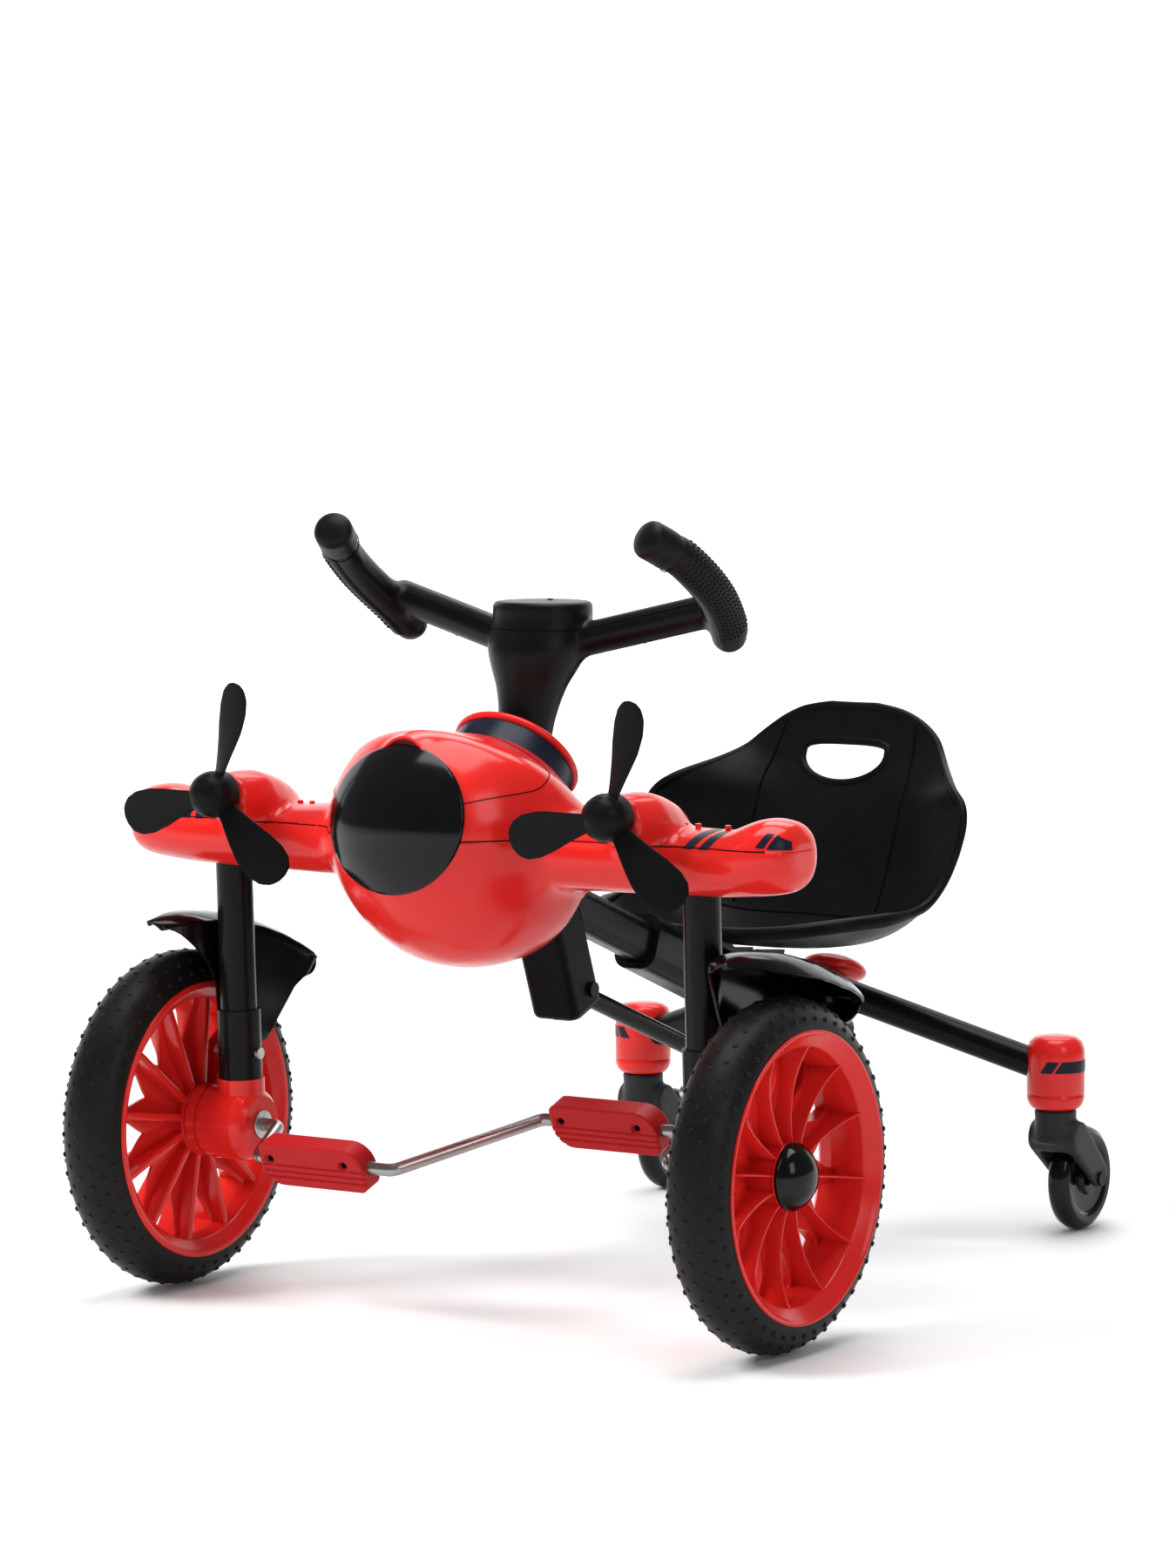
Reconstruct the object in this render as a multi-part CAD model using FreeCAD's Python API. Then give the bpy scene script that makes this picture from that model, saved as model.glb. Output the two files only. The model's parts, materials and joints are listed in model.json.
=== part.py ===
import FreeCAD, Part
import math
import os
from FreeCAD import Vector as V

os.makedirs("parts", exist_ok=True)

# Aeroplane-styled pedal trike: two pedalled front wheels, a steered front end, and a rear frame with
# a bucket seat on two swivel casters. Millimetres, +Z up, the rider faces -Y, the rider's left is +X.
# Parts are drawn with y = 0 at the front axle; save() then moves them back so that the origin lies on
# the ground under the middle of the whole trike.

# ---- driving dimensions -------------------------------------------------------------------------
WALL = 3.0                      # moulded plastic wall
TYRE_R = 145.0                  # front tyre, and the height of the front axle
TYRE_HALF_W = 29.0
WHEEL_X = 298.5                 # middle plane of a front wheel
RIM_LIP_R = 118.0
RIM_SEAT_R = 108.0
HUB_R = 27.0
CAP_R = 27.5                    # black hub cap
CAP_H = 19.0

ROD_R = 5.5                     # bent steel crank rod
FIT = 0.05                      # radial running clearance
CRANK_Y = 58.0                  # pedal pin, forward of the axle on the right and behind it on the left
CRANK_Z = 17.0
PIN_IN_X = 36.0                 # pedal pin, inner and outer bends
PIN_OUT_X = 174.0
STUB_X = 194.0
ROD_END_X = 316.0
PEDAL_IN_X = 46.0
PEDAL_L = 117.0
PEDAL_H = 46.0
PEDAL_T = 26.0
PEDAL_TILT = 20.0

FORK_X = 232.3
FORK_R = 15.5
FORK_RAKE = 2.5
SLEEVE_R = 18.5
FENDER_X = 250.8                # inboard face of the fender, against the leg sleeve
SLEEVE_Z = (178.0, 243.0)
HOUSING_R = 32.0                # red hub housing round the axle
HOUSING_X = (212.0, 270.0)
FORK_TOP_Z = 392.0

STEER_RAKE = 21.0               # steering axis: its foot is further back than its top
STEER_Y = 138.0                 # a point on the steering axis
STEER_Z = 275.0
COLUMN_R = 14.0
COLUMN_FOOT = -8.0              # lower end of the steering column, along the steering axis
HEAD_R = 18.5                   # outer radius of the steel head tube
HEAD_S = (-6.0, 100.0)
SHELL_W = 46.0                  # column housing, across and along
SHELL_D = 46.0

TUBE_DROP = 20.5                # main tube slopes down to the rear
MAIN_Y = 110.6                  # where the main tube's centre line meets the steering axis
MAIN_Z = 346.4
MAIN_W = 30.0
MAIN_H = 36.0
MAIN_T = (14.0, 512.0)
SLEEVE_W = 42.0
SLEEVE_H = 50.0
SLEEVE_T = (162.0, 520.0)
BRACE_R = 8.0
BRACE_N = -66.0
BRACE_T = (62.0, 470.0)

CASTER_X = 219.8
CASTER_Y = 621.0
CASTER_R = 47.5
CASTER_TRAIL = 47.0
CASTER_HALF_W = 12.0
CAP_Z = (116.0, 183.0)
CASTER_CAP_R = 26.0
KINGPIN_R = 6.0
LEG_R = 13.5

NOSE_AXES = (108.0, 130.0, 112.0)   # fuselage egg, half sizes
EGG_Z = 405.5
EGG_TILT = 10.0
NOSE_CUT = 106.0
SEAM_Z = 409.0
PROP_X = 193.5
PROP_Z = 434.0
SPINNER_TIP_Y = -112.7
SPINNER_R = 19.0
SPINNER_L = 34.0
BLADE_R = 96.0
BLADE_ANGLES = (76.0, 196.0, 316.0)

RIVETS_X = (152.0, 164.0, 216.0, 228.0, 256.0)
RIVET_Y = -8.0
RIVET_R = 2.4

COLLAR_Y = 72.8
COLLAR_Z = 463.2
COLLAR_R = 53.0
COLLAR_H = 26.0

HEAD_Y = 113.0
HEAD_SEAM_Z = 568.0
HEAD_TOP_Z = 592.0
HEAD_CAP_R = 42.0
BAR_R = 9.5
ARM_R = 14.5
ARM_COVER_END = 146.0
ARM_SEAM_LIFT = 8.0
GRIP_R = 16.0

SEAT_T = 4.0

REAR_END = CASTER_Y + CASTER_TRAIL + CASTER_R
ORIGIN_Y = (REAR_END - TYRE_R) / 2

X_AXIS = V(1, 0, 0)
Y_AXIS = V(0, 1, 0)
Z_AXIS = V(0, 0, 1)
AXLE = V(0, 0, TYRE_R)
SIDES = (("left", 1), ("right", -1))

STEER_AXIS = V(0, -math.sin(math.radians(STEER_RAKE)), math.cos(math.radians(STEER_RAKE)))
TUBE_AXIS = V(0, math.cos(math.radians(TUBE_DROP)), -math.sin(math.radians(TUBE_DROP)))
TUBE_UP = V(0, math.sin(math.radians(TUBE_DROP)), math.cos(math.radians(TUBE_DROP)))


# ---- helpers ------------------------------------------------------------------------------------
def save(shape, node):
    """Write one node, moved so that the origin is under the middle of the trike."""
    out = shape.copy()
    out.translate(V(0, -ORIGIN_Y, 0))
    out.exportStep("parts/" + node + ".step")


def group(solids):
    return Part.makeCompound(solids)


def rod(radius, start, end):
    direction = end - start
    return Part.makeCylinder(radius, direction.Length, start, direction)


def pipe_between(outer, inner, start, end):
    return rod(outer, start, end).cut(rod(inner, start, end))


def box(x0, x1, y0, y1, z0, z1):
    return Part.makeBox(x1 - x0, y1 - y0, z1 - z0, V(x0, y0, z0))


def on_axis(s):
    """Point on the steering axis, s above its reference point."""
    return V(0, STEER_Y, STEER_Z) + STEER_AXIS * s


def on_tube(t, n, x=0.0):
    """Point t along the main tube's centre line and n above it."""
    return V(x, MAIN_Y, MAIN_Z) + TUBE_AXIS * t + TUBE_UP * n


def mirrored(shape):
    return shape.mirror(V(0, 0, 0), X_AXIS)


def on_side(shape, side):
    return shape if side > 0 else mirrored(shape)


def turned(shape, centre, axis, angle):
    out = shape.copy()
    out.rotate(centre, axis, angle)
    return out


def in_frame(shape, origin, x_dir, z_dir):
    """Place a shape drawn at the origin into a frame given by its x and z directions."""
    y_dir = z_dir.cross(x_dir)
    matrix = FreeCAD.Matrix(x_dir.x, y_dir.x, z_dir.x, origin.x,
                            x_dir.y, y_dir.y, z_dir.y, origin.y,
                            x_dir.z, y_dir.z, z_dir.z, origin.z,
                            0, 0, 0, 1)
    out = shape.copy()
    out.Placement = FreeCAD.Placement(matrix).multiply(out.Placement)
    return out


def bent_path(points, radius):
    """Wire of straight runs joined by tangent arcs of one radius."""
    edges = []
    last = points[0]
    for i in range(1, len(points) - 1):
        back = (points[i - 1] - points[i]).normalize()
        ahead = (points[i + 1] - points[i]).normalize()
        half = back.getAngle(ahead) / 2
        reach = radius / math.tan(half)
        begin = points[i] + back * reach
        finish = points[i] + ahead * reach
        bisector = (back + ahead).normalize()
        middle = points[i] + bisector * (radius / math.sin(half) - radius)
        edges.append(Part.makeLine(last, begin))
        edges.append(Part.Arc(begin, middle, finish).toShape())
        last = finish
    edges.append(Part.makeLine(last, points[-1]))
    return Part.Wire(edges)


def bent_rod(points, bend, radius):
    path = bent_path(points, bend)
    profile = Part.Wire(Part.makeCircle(radius, points[0], points[1] - points[0]))
    return path.makePipeShell([profile], True, False)


def revolved(points, origin, axis):
    """Solid turned from (along, radius) points about an axis through origin."""
    side = axis.cross(X_AXIS if abs(axis.x) < 0.9 else Z_AXIS).normalize()
    corners = [origin + axis * along + side * radius for along, radius in points]
    face = Part.Face(Part.makePolygon(corners + corners[:1]))
    return face.revolve(origin, axis, 360)


def ellipse_wire(centre, u_dir, v_dir, a, b):
    """Ellipse with half sizes a along u_dir and b along v_dir."""
    if a >= b:
        curve = Part.Ellipse(centre + u_dir * a, centre + v_dir * b, centre)
    else:
        curve = Part.Ellipse(centre + v_dir * b, centre - u_dir * a, centre)
    return Part.Wire(curve.toShape())


def lofted(wires):
    return Part.makeLoft(wires, True, False)


def rounded_bar(width, height, length, corner):
    """Bar along +X with rounded long edges, centred on the X axis."""
    bar = Part.makeBox(length, width, height, V(0, -width / 2, -height / 2))
    long_edges = [e for e in bar.Edges if abs(e.tangentAt(e.FirstParameter).x) > 0.99]
    return bar.makeFillet(corner, long_edges)


def along_tube(shape, t, n=0.0):
    return in_frame(shape, on_tube(t, n), TUBE_AXIS, TUBE_UP)


def raked(shape):
    """Lean a front leg part about the front axle."""
    return turned(shape, AXLE, X_AXIS, FORK_RAKE)


# ---- front wheels -------------------------------------------------------------------------------
def arc_section(x0, x1, edge_r, crown_r, inner_r):
    """Face in the XZ plane above the axle: a crowned outer edge on a flat inner edge."""
    crown = Part.Arc(V(x0, 0, TYRE_R + edge_r), V((x0 + x1) / 2, 0, TYRE_R + crown_r),
                     V(x1, 0, TYRE_R + edge_r)).toShape()
    down = Part.makeLine(V(x1, 0, TYRE_R + edge_r), V(x1, 0, TYRE_R + inner_r))
    inside = Part.makeLine(V(x1, 0, TYRE_R + inner_r), V(x0, 0, TYRE_R + inner_r))
    up = Part.makeLine(V(x0, 0, TYRE_R + inner_r), V(x0, 0, TYRE_R + edge_r))
    return Part.Face(Part.Wire([crown, down, inside, up]))


def tyre():
    face = arc_section(WHEEL_X - TYRE_HALF_W + 1.5, WHEEL_X + TYRE_HALF_W - 1.5,
                       RIM_LIP_R - 1.0, TYRE_R, RIM_SEAT_R)
    return face.revolve(AXLE, X_AXIS, 360)


def rim(bore):
    """Red moulded wheel: flanged barrel, hub, and twelve ribs with open gaps between them."""
    lip = TYRE_HALF_W + 0.1
    barrel = revolved([(-lip, RIM_LIP_R), (-lip + 1.6, RIM_LIP_R), (-lip + 1.6, RIM_SEAT_R),
                       (lip - 1.6, RIM_SEAT_R), (lip - 1.6, RIM_LIP_R), (lip, RIM_LIP_R),
                       (lip, 112.0), (4.0, 100.0), (-8.0, 101.5), (-lip, 104.0)],
                      AXLE + X_AXIS * WHEEL_X, X_AXIS)
    hub = Part.makeCylinder(HUB_R, 39.0, V(272.0, 0, TYRE_R), X_AXIS)
    ribs = []
    for i in range(12):
        rib = box(WHEEL_X - 17, WHEEL_X + 3, -3.2, 3.2, TYRE_R + HUB_R - 3, TYRE_R + 101.8)
        fin = box(WHEEL_X + 2, WHEEL_X + 11, -1.5, 1.5, TYRE_R + HUB_R - 3, TYRE_R + 102.5)
        ribs.append(turned(rib.fuse(fin), AXLE, X_AXIS, 30.0 * i))
    wheel = barrel.fuse([hub] + ribs)
    return wheel.cut(Part.makeCylinder(bore, 60.0, V(265.0, 0, TYRE_R), X_AXIS))


def hub_cap():
    base_x = 311.0
    cap_sphere = (CAP_R ** 2 + CAP_H ** 2) / (2 * CAP_H)
    ball = Part.makeSphere(cap_sphere, V(base_x + CAP_H - cap_sphere, 0, TYRE_R))
    dome = ball.common(Part.makeCylinder(CAP_R, CAP_H + 1, V(base_x, 0, TYRE_R), X_AXIS))
    return dome.cut(Part.makeCylinder(13.0, 9.0, V(base_x, 0, TYRE_R), X_AXIS))


def axle_nut():
    nut = Part.Face(Part.makePolygon([V(0, 8.5 * math.cos(math.radians(60 * i)),
                                        8.5 * math.sin(math.radians(60 * i))) for i in range(7)]))
    solid = nut.extrude(X_AXIS * 4.7)
    solid.translate(V(311.3, 0, TYRE_R))
    return solid.cut(Part.makeCylinder(ROD_R, 10.0, V(310.0, 0, TYRE_R), X_AXIS))


# ---- crank and pedals ---------------------------------------------------------------------------
def crank_rod():
    points = []
    for sign in (-1, 1):
        half = [V(sign * ROD_END_X, 0, TYRE_R), V(sign * STUB_X, 0, TYRE_R),
                V(sign * PIN_OUT_X, sign * CRANK_Y, TYRE_R + sign * CRANK_Z),
                V(sign * PIN_IN_X, sign * CRANK_Y, TYRE_R + sign * CRANK_Z)]
        points += half if sign < 0 else half[::-1]
    return bent_rod(points, 9.0, ROD_R)


def pedal_halves(side):
    """Two moulded halves that clamp round the pedal pin, with long ribs on both faces."""
    x0 = PEDAL_IN_X
    block = Part.makeBox(PEDAL_L, PEDAL_T, PEDAL_H, V(x0, -PEDAL_T / 2, -PEDAL_H / 2))
    corners = [e for e in block.Edges if abs(e.tangentAt(e.FirstParameter).y) > 0.99]
    block = block.makeFillet(15.0, corners)
    for face_sign in (-1, 1):
        for row in range(-3, 4):
            y_face = face_sign * PEDAL_T / 2
            groove = box(x0 - 1, x0 + PEDAL_L + 1, y_face - 1.4, y_face + 1.4,
                         row * 6.2 - 1.2, row * 6.2 + 1.2)
            block = block.cut(groove)
    block = block.cut(Part.makeCylinder(ROD_R + FIT, PEDAL_L + 2, V(x0 - 1, 0, 0), X_AXIS))
    for screw_x in (x0 + 13, x0 + PEDAL_L - 33):
        block = block.cut(Part.makeCylinder(2.0, 40, V(screw_x, -20, 12.4), Y_AXIS))
        block = block.cut(Part.makeCylinder(3.6, 4, V(screw_x, -PEDAL_T / 2 - 1, 12.4), Y_AXIS))
    front = block.common(box(x0 - 5, x0 + PEDAL_L + 5, -40, 0, -40, 40))
    back = block.common(box(x0 - 5, x0 + PEDAL_L + 5, 0, 40, -40, 40))
    return [place_on_pin(half, side) for half in (front, back)]


def pedal_screws(side):
    screws = []
    for screw_x in (PEDAL_IN_X + 13, PEDAL_IN_X + PEDAL_L - 33):
        shank = Part.makeCylinder(2.0, 20, V(screw_x, -PEDAL_T / 2 + 3, 12.4), Y_AXIS)
        head = Part.makeCylinder(3.5, 1.8, V(screw_x, -PEDAL_T / 2 + 1.2, 12.4), Y_AXIS)
        screws.append(place_on_pin(shank.fuse(head), side))
    return group(screws)


def place_on_pin(shape, side):
    out = turned(shape, V(0, 0, 0), X_AXIS, PEDAL_TILT)
    if side < 0:
        out.translate(V(-2 * PEDAL_IN_X - PEDAL_L, 0, 0))
    out.translate(V(0, side * CRANK_Y, TYRE_R + side * CRANK_Z))
    return out


# ---- front legs ---------------------------------------------------------------------------------
def fork_frame():
    """Cross tube in the wings with a leg tube down each side and a bracket to the column."""
    top = raked_point(FORK_TOP_Z)
    cross = rod(12.5, V(-FORK_X, top.y, top.z), V(FORK_X, top.y, top.z))
    legs = []
    for side in (1, -1):
        leg = rod(FORK_R, V(side * FORK_X, 0, SLEEVE_Z[0] + 6), V(side * FORK_X, 0, FORK_TOP_Z + 10))
        legs.append(raked(leg))
    collar = rod(COLUMN_R + 6, on_axis(104.6), on_axis(134))
    plate = box(-20, 20, top.y, on_axis(122).y - 6, top.z - 4, top.z + 4)
    frame = cross.fuse(legs + [collar, plate]).cut(rod(COLUMN_R, on_axis(90), on_axis(150)))
    return frame.cut(raked(rod(3.0, V(-280, 0, 206), V(280, 0, 206))))


def raked_point(height):
    angle = math.radians(FORK_RAKE)
    reach = height - TYRE_R
    return V(0, -math.sin(angle) * reach, TYRE_R + math.cos(angle) * reach)


def fork_sleeve():
    sleeve = rod(SLEEVE_R, V(FORK_X, 0, SLEEVE_Z[0]), V(FORK_X, 0, SLEEVE_Z[1]))
    sleeve = sleeve.cut(rod(FORK_R, V(FORK_X, 0, SLEEVE_Z[0] + 6), V(FORK_X, 0, SLEEVE_Z[1] + 1)))
    bolt_hole = rod(3.0, V(FORK_X - 30, 0, 206), V(FORK_X + 30, 0, 206))
    return raked(sleeve.cut(bolt_hole))


def leg_bolts():
    """Cross bolts that pin each leg tube in its sleeve and carry the fender."""
    panel_x = FENDER_X + 2.5
    shank = rod(3.0, V(FORK_X - SLEEVE_R - 2, 0, 206), V(panel_x + 1, 0, 206))
    head = rod(5.0, V(FORK_X - SLEEVE_R - 3.5, 0, 206), V(FORK_X - SLEEVE_R, 0, 206))
    nut = rod(5.0, V(panel_x, 0, 206), V(panel_x + 3, 0, 206))
    bolt = raked(shank.fuse([head, nut]))
    return group([bolt, mirrored(bolt)])


def hub_housing():
    x0, x1 = HOUSING_X
    body = revolved([(0, 0), (0, 24), (5, 29), (12, HOUSING_R), (46, HOUSING_R), (46, HOUSING_R - 2),
                     (49, HOUSING_R - 2), (49, HOUSING_R), (x1 - x0, HOUSING_R), (x1 - x0, 0)],
                    V(x0, 0, TYRE_R), X_AXIS)
    neck = rod(SLEEVE_R + 1.5, V(FORK_X, 0, TYRE_R + 10), V(FORK_X, 0, SLEEVE_Z[0] + 6))
    body = body.fuse(raked(neck))
    body = body.cut(raked(rod(SLEEVE_R, V(FORK_X, 0, SLEEVE_Z[0]), V(FORK_X, 0, SLEEVE_Z[1]))))
    return body.cut(Part.makeCylinder(9.0, 80, V(x0 - 5, 0, TYRE_R), X_AXIS))


def axle_bushes():
    """Flanged zinc bushes that carry the crank rod at both ends of each hub housing."""
    bushes = []
    for side in (1, -1):
        for inner, flange in ((HOUSING_X[0], -1), (HOUSING_X[1] - 14, 0)):
            bush = Part.makeCylinder(9.0, 14, V(inner, 0, TYRE_R), X_AXIS)
            if flange:
                bush = bush.fuse(Part.makeCylinder(12.0, 2.4, V(inner - 2.4, 0, TYRE_R), X_AXIS))
            bore = Part.makeCylinder(ROD_R + FIT, 30, V(inner - 8, 0, TYRE_R), X_AXIS)
            bushes.append(on_side(bush.cut(bore), side))
    return group(bushes)


def polar(radius, angle, x):
    """Point at a radius from the front axle, angle degrees back from straight up."""
    return V(x, radius * math.sin(math.radians(angle)), TYRE_R + radius * math.cos(math.radians(angle)))


def fender():
    """Crowned shell over the tyre with a fan-shaped inboard panel down to the leg sleeve."""
    x_in = FENDER_X
    outer = Part.Arc(V(x_in, 0, TYRE_R + 168), V(290, 0, TYRE_R + 179), V(326, 0, TYRE_R + 163)).toShape()
    inner = Part.Arc(V(323.5, 0, TYRE_R + 161.5), V(290, 0, TYRE_R + 176.2),
                     V(x_in + 2.5, 0, TYRE_R + 166)).toShape()
    outer_lip = Part.makeLine(V(326, 0, TYRE_R + 163), V(323.5, 0, TYRE_R + 161.5))
    inner_lip = Part.makeLine(V(x_in + 2.5, 0, TYRE_R + 166), V(x_in, 0, TYRE_R + 168))
    section = Part.Face(Part.Wire([outer, outer_lip, inner, inner_lip]))
    crown = turned(section, AXLE, X_AXIS, 14.0).revolve(AXLE, X_AXIS, -60.0)
    tip = [polar(166.5, angle, x_in) for angle in (-14, 0, 15, 30, 46)]
    foot = [V(x_in, 26, 204), V(x_in, 10, 196), V(x_in, -6, 200), V(x_in, -8, 262)]
    panel = Part.Face(Part.makePolygon(tip + foot + tip[:1])).extrude(X_AXIS * 2.5)
    hole_y = raked_point(206).y
    return crown.fuse(panel).cut(rod(3.05, V(240, hole_y, 206), V(262, hole_y, 206)))


# ---- aeroplane body -----------------------------------------------------------------------------
def egg(inset):
    sizes = [size - inset for size in NOSE_AXES]
    ball = Part.makeSphere(1.0)
    matrix = FreeCAD.Matrix()
    matrix.scale(*sizes)
    body = ball.transformGeometry(matrix)
    body.translate(V(0, 0, EGG_Z))
    return turned(body, V(0, 0, EGG_Z), X_AXIS, -EGG_TILT)


COLLAR_AXIS = V(0, math.sqrt(0.5), math.sqrt(0.5))
COLLAR_TOP = V(0, COLLAR_Y, COLLAR_Z)


def shoulder(inset):
    """Cone that slims the egg towards the cockpit collar."""
    base = COLLAR_TOP - COLLAR_AXIS * (COLLAR_H + 227.0)
    return Part.makeCone(343.0 - inset * 1.6, 58.0 - inset * 1.6, 227.0, base, COLLAR_AXIS)


def rear_cut():
    """Everything behind the open rear rim of the fuselage."""
    outline = [V(-150, 30, 250), V(-150, 30, 352), V(-150, 128, 412), V(-150, 220, 412), V(-150, 220, 250)]
    return Part.Face(Part.makePolygon(outline + outline[:1])).extrude(X_AXIS * 300)


def fuselage(inset):
    return egg(inset).common(shoulder(inset)).cut(rear_cut())


WING_SECTIONS = (
    (0, -2, 397, 62, 33), (90, -4, 396, 52, 31), (150, -8, 394, 46, 29), (232, -9, 394, 42, 27),
    (280, -8, 394, 42, 27), (308, -8, 399, 41, 33), (325, -8, 401, 33, 28), (333, -8, 402, 18, 16),
    (336, -8, 402, 5, 4))


def wing(inset):
    wires = []
    for x, y, z, a, b in WING_SECTIONS:
        if inset and x > 325:
            continue
        wires.append(ellipse_wire(V(x, y, z), Y_AXIS, Z_AXIS, a - inset, b - inset))
    return lofted(wires)


def nacelle(inset):
    profile = ((-77 + inset, 19.5), (-60, 23), (-40, 24), (-20, 21), (0, 16), (18, 8))
    wires = [ellipse_wire(V(PROP_X, y, PROP_Z - 4 - (y + 77) * 0.08), X_AXIS, Z_AXIS,
                          r + 2 - inset, r - inset) for y, r in profile]
    return lofted(wires)


def plane_solid(inset):
    left = wing(inset).fuse(nacelle(inset))
    return fuselage(inset).fuse([left, mirrored(left)])


def nose_zone():
    """Everything ahead of the flat joint between the fuselage and its nose dome."""
    block = box(-90, 90, -160, -NOSE_CUT, EGG_Z - 90, EGG_Z + 90)
    return turned(block, V(0, 0, EGG_Z), X_AXIS, -EGG_TILT)


def plane_cutters():
    """Nose, cockpit and column openings, and the holes for legs, propeller pins and rivets."""
    cutters = [nose_zone(), rod(COLLAR_R - 3, COLLAR_TOP - COLLAR_AXIS * 60, COLLAR_TOP + COLLAR_AXIS * 20),
               rod(COLUMN_R + 1, on_axis(90), on_axis(200)), rod(COLUMN_R + 7, on_axis(100), on_axis(140))]
    for side in (1, -1):
        cutters.append(raked(rod(FORK_R + 0.2, V(side * FORK_X, 0, 300), V(side * FORK_X, 0, SEAM_Z - 8))))
        cutters.append(rod(3.0, V(side * PROP_X, -90, PROP_Z), V(side * PROP_X, -60, PROP_Z)))
        for x in RIVETS_X:
            cutters.append(rod(RIVET_R, V(side * x, RIVET_Y, 410), V(side * x, RIVET_Y, 430)))
    return cutters


def plane_shells():
    """Upper shell, lower shell and the separate hood panel on top of the nose."""
    shell = plane_solid(0).cut(plane_solid(WALL)).cut(plane_cutters())
    upper = shell.common(box(-400, 400, -200, 200, SEAM_Z, 600))
    lower = shell.common(box(-400, 400, -200, 200, 200, SEAM_Z))
    return upper.cut(hood_zone()), lower, upper.common(hood_zone())


def hood_zone():
    """Rounded block over the top of the nose that bounds the hood panel."""
    block = box(-74, 74, -140, 14, 436, 600)
    upright = [e for e in block.Edges if abs(e.tangentAt(e.FirstParameter).z) > 0.99]
    return block.makeFillet(22.0, upright)


def nose_dome():
    return egg(0).cut(egg(4.0)).common(nose_zone())


def cockpit_collar():
    base = COLLAR_TOP - COLLAR_AXIS * COLLAR_H
    height = COLLAR_H - 4.3
    ring = Part.makeCone(57.5, COLLAR_R, height, base, COLLAR_AXIS)
    ring = ring.cut(Part.makeCone(54.0, COLLAR_R - 3.5, height, base, COLLAR_AXIS))
    return ring.cut(rod(COLUMN_R + 1, on_axis(90), on_axis(200)))


def cockpit_rim():
    return Part.makeTorus(COLLAR_R - 1.0, 3.6, COLLAR_TOP - COLLAR_AXIS * 0.7, COLLAR_AXIS)


def propeller_pins():
    """Fixed pins, each with a flange behind the front wall of its nacelle."""
    pin = rod(3.0, V(PROP_X, -94, PROP_Z), V(PROP_X, -60, PROP_Z))
    pin = pin.fuse(rod(8.0, V(PROP_X, -77 + WALL, PROP_Z), V(PROP_X, -68, PROP_Z)))
    return group([pin, mirrored(pin)])


def blade():
    """One twisted blade pointing up from the propeller's centre."""
    wires = []
    for radius, width, thick, pitch in ((10, 14, 7, 40), (30, 19, 5, 34), (52, 26, 4, 28),
                                        (74, 28, 3.6, 24), (88, 22, 3.2, 21), (BLADE_R, 9, 2.6, 20)):
        turn = math.radians(pitch)
        across = V(math.cos(turn), math.sin(turn), 0)
        through = V(-math.sin(turn), math.cos(turn), 0)
        wires.append(ellipse_wire(V(0, 0, radius), across, through, width / 2, thick / 2))
    return lofted(wires)


def propeller(side):
    back_y = SPINNER_TIP_Y + SPINNER_L
    hub = Part.makeCylinder(SPINNER_R, SPINNER_L - 18, V(0, back_y, 0), V(0, -1, 0))
    nose = Part.makeSphere(SPINNER_R, V(0, 0, 0))
    matrix = FreeCAD.Matrix()
    matrix.scale(1, 18 / SPINNER_R, 1)
    nose = nose.transformGeometry(matrix).common(box(-30, 30, -30, 0, -30, 30))
    nose.translate(V(0, SPINNER_TIP_Y + 18, 0))
    spinner = hub.fuse(nose)
    blades = []
    for angle in BLADE_ANGLES:
        one = turned(blade(), V(0, 0, 0), Y_AXIS, 90 - angle)
        one.translate(V(0, back_y - 9, 0))
        blades.append(one)
    solid = spinner.fuse(blades)
    solid = solid.cut(rod(3.0 + FIT, V(0, -95, 0), V(0, -60, 0)))
    solid.translate(V(side * PROP_X, 0, PROP_Z))
    return solid


def wing_rivets():
    """Small rivets in the top of both wings."""
    return group([rod(RIVET_R, V(side * x, RIVET_Y, 414), V(side * x, RIVET_Y, 424.6))
                  for side in (1, -1) for x in RIVETS_X])


# ---- steering and handlebar ---------------------------------------------------------------------
def stem_sections(inset):
    rows = ((82, 462, 22), (88, 490, 23.5), (95, 518, 28.5), (103, 545, 41), (110, 558, 43.5),
            (HEAD_Y, HEAD_SEAM_Z, HEAD_CAP_R))
    return [Part.Wire(Part.makeCircle(r - inset, V(0, y, z))) for y, z, r in rows]


def arm_line():
    """Centre line of the left arm, from the middle of the head to the middle of the grip."""
    return V(0, 107.6, 550.0), V(160, 140.1, 588.9)


def on_arm(x):
    start, end = arm_line()
    return start + (end - start) * (x / (end.x - start.x))


def arm_cover():
    return rod(ARM_R, on_arm(0), on_arm(ARM_COVER_END))


def arm_split():
    """Space above the parting line that runs along the arm, in line with the seam round the head."""
    start, end = arm_line()
    direction = (end - start).normalize()
    up = direction.cross(Y_AXIS).normalize()
    return in_frame(Part.makeBox(240, 200, 100, V(-10, -100, ARM_SEAM_LIFT)), start, direction, up)


def grip_path():
    return [V(161, 148, 568), V(168, 126, 587), V(173, 98, 607), V(168, 62, 632), V(158, 34, 648)]


def bar_path():
    right = [V(158, 40, 645), V(171, 100, 606), on_arm(164), on_arm(40)]
    left = [V(-p.x, p.y, p.z) for p in right]
    return right + left[::-1]


def handlebar_tube():
    return bent_rod(bar_path(), 14.0, BAR_R)


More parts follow.
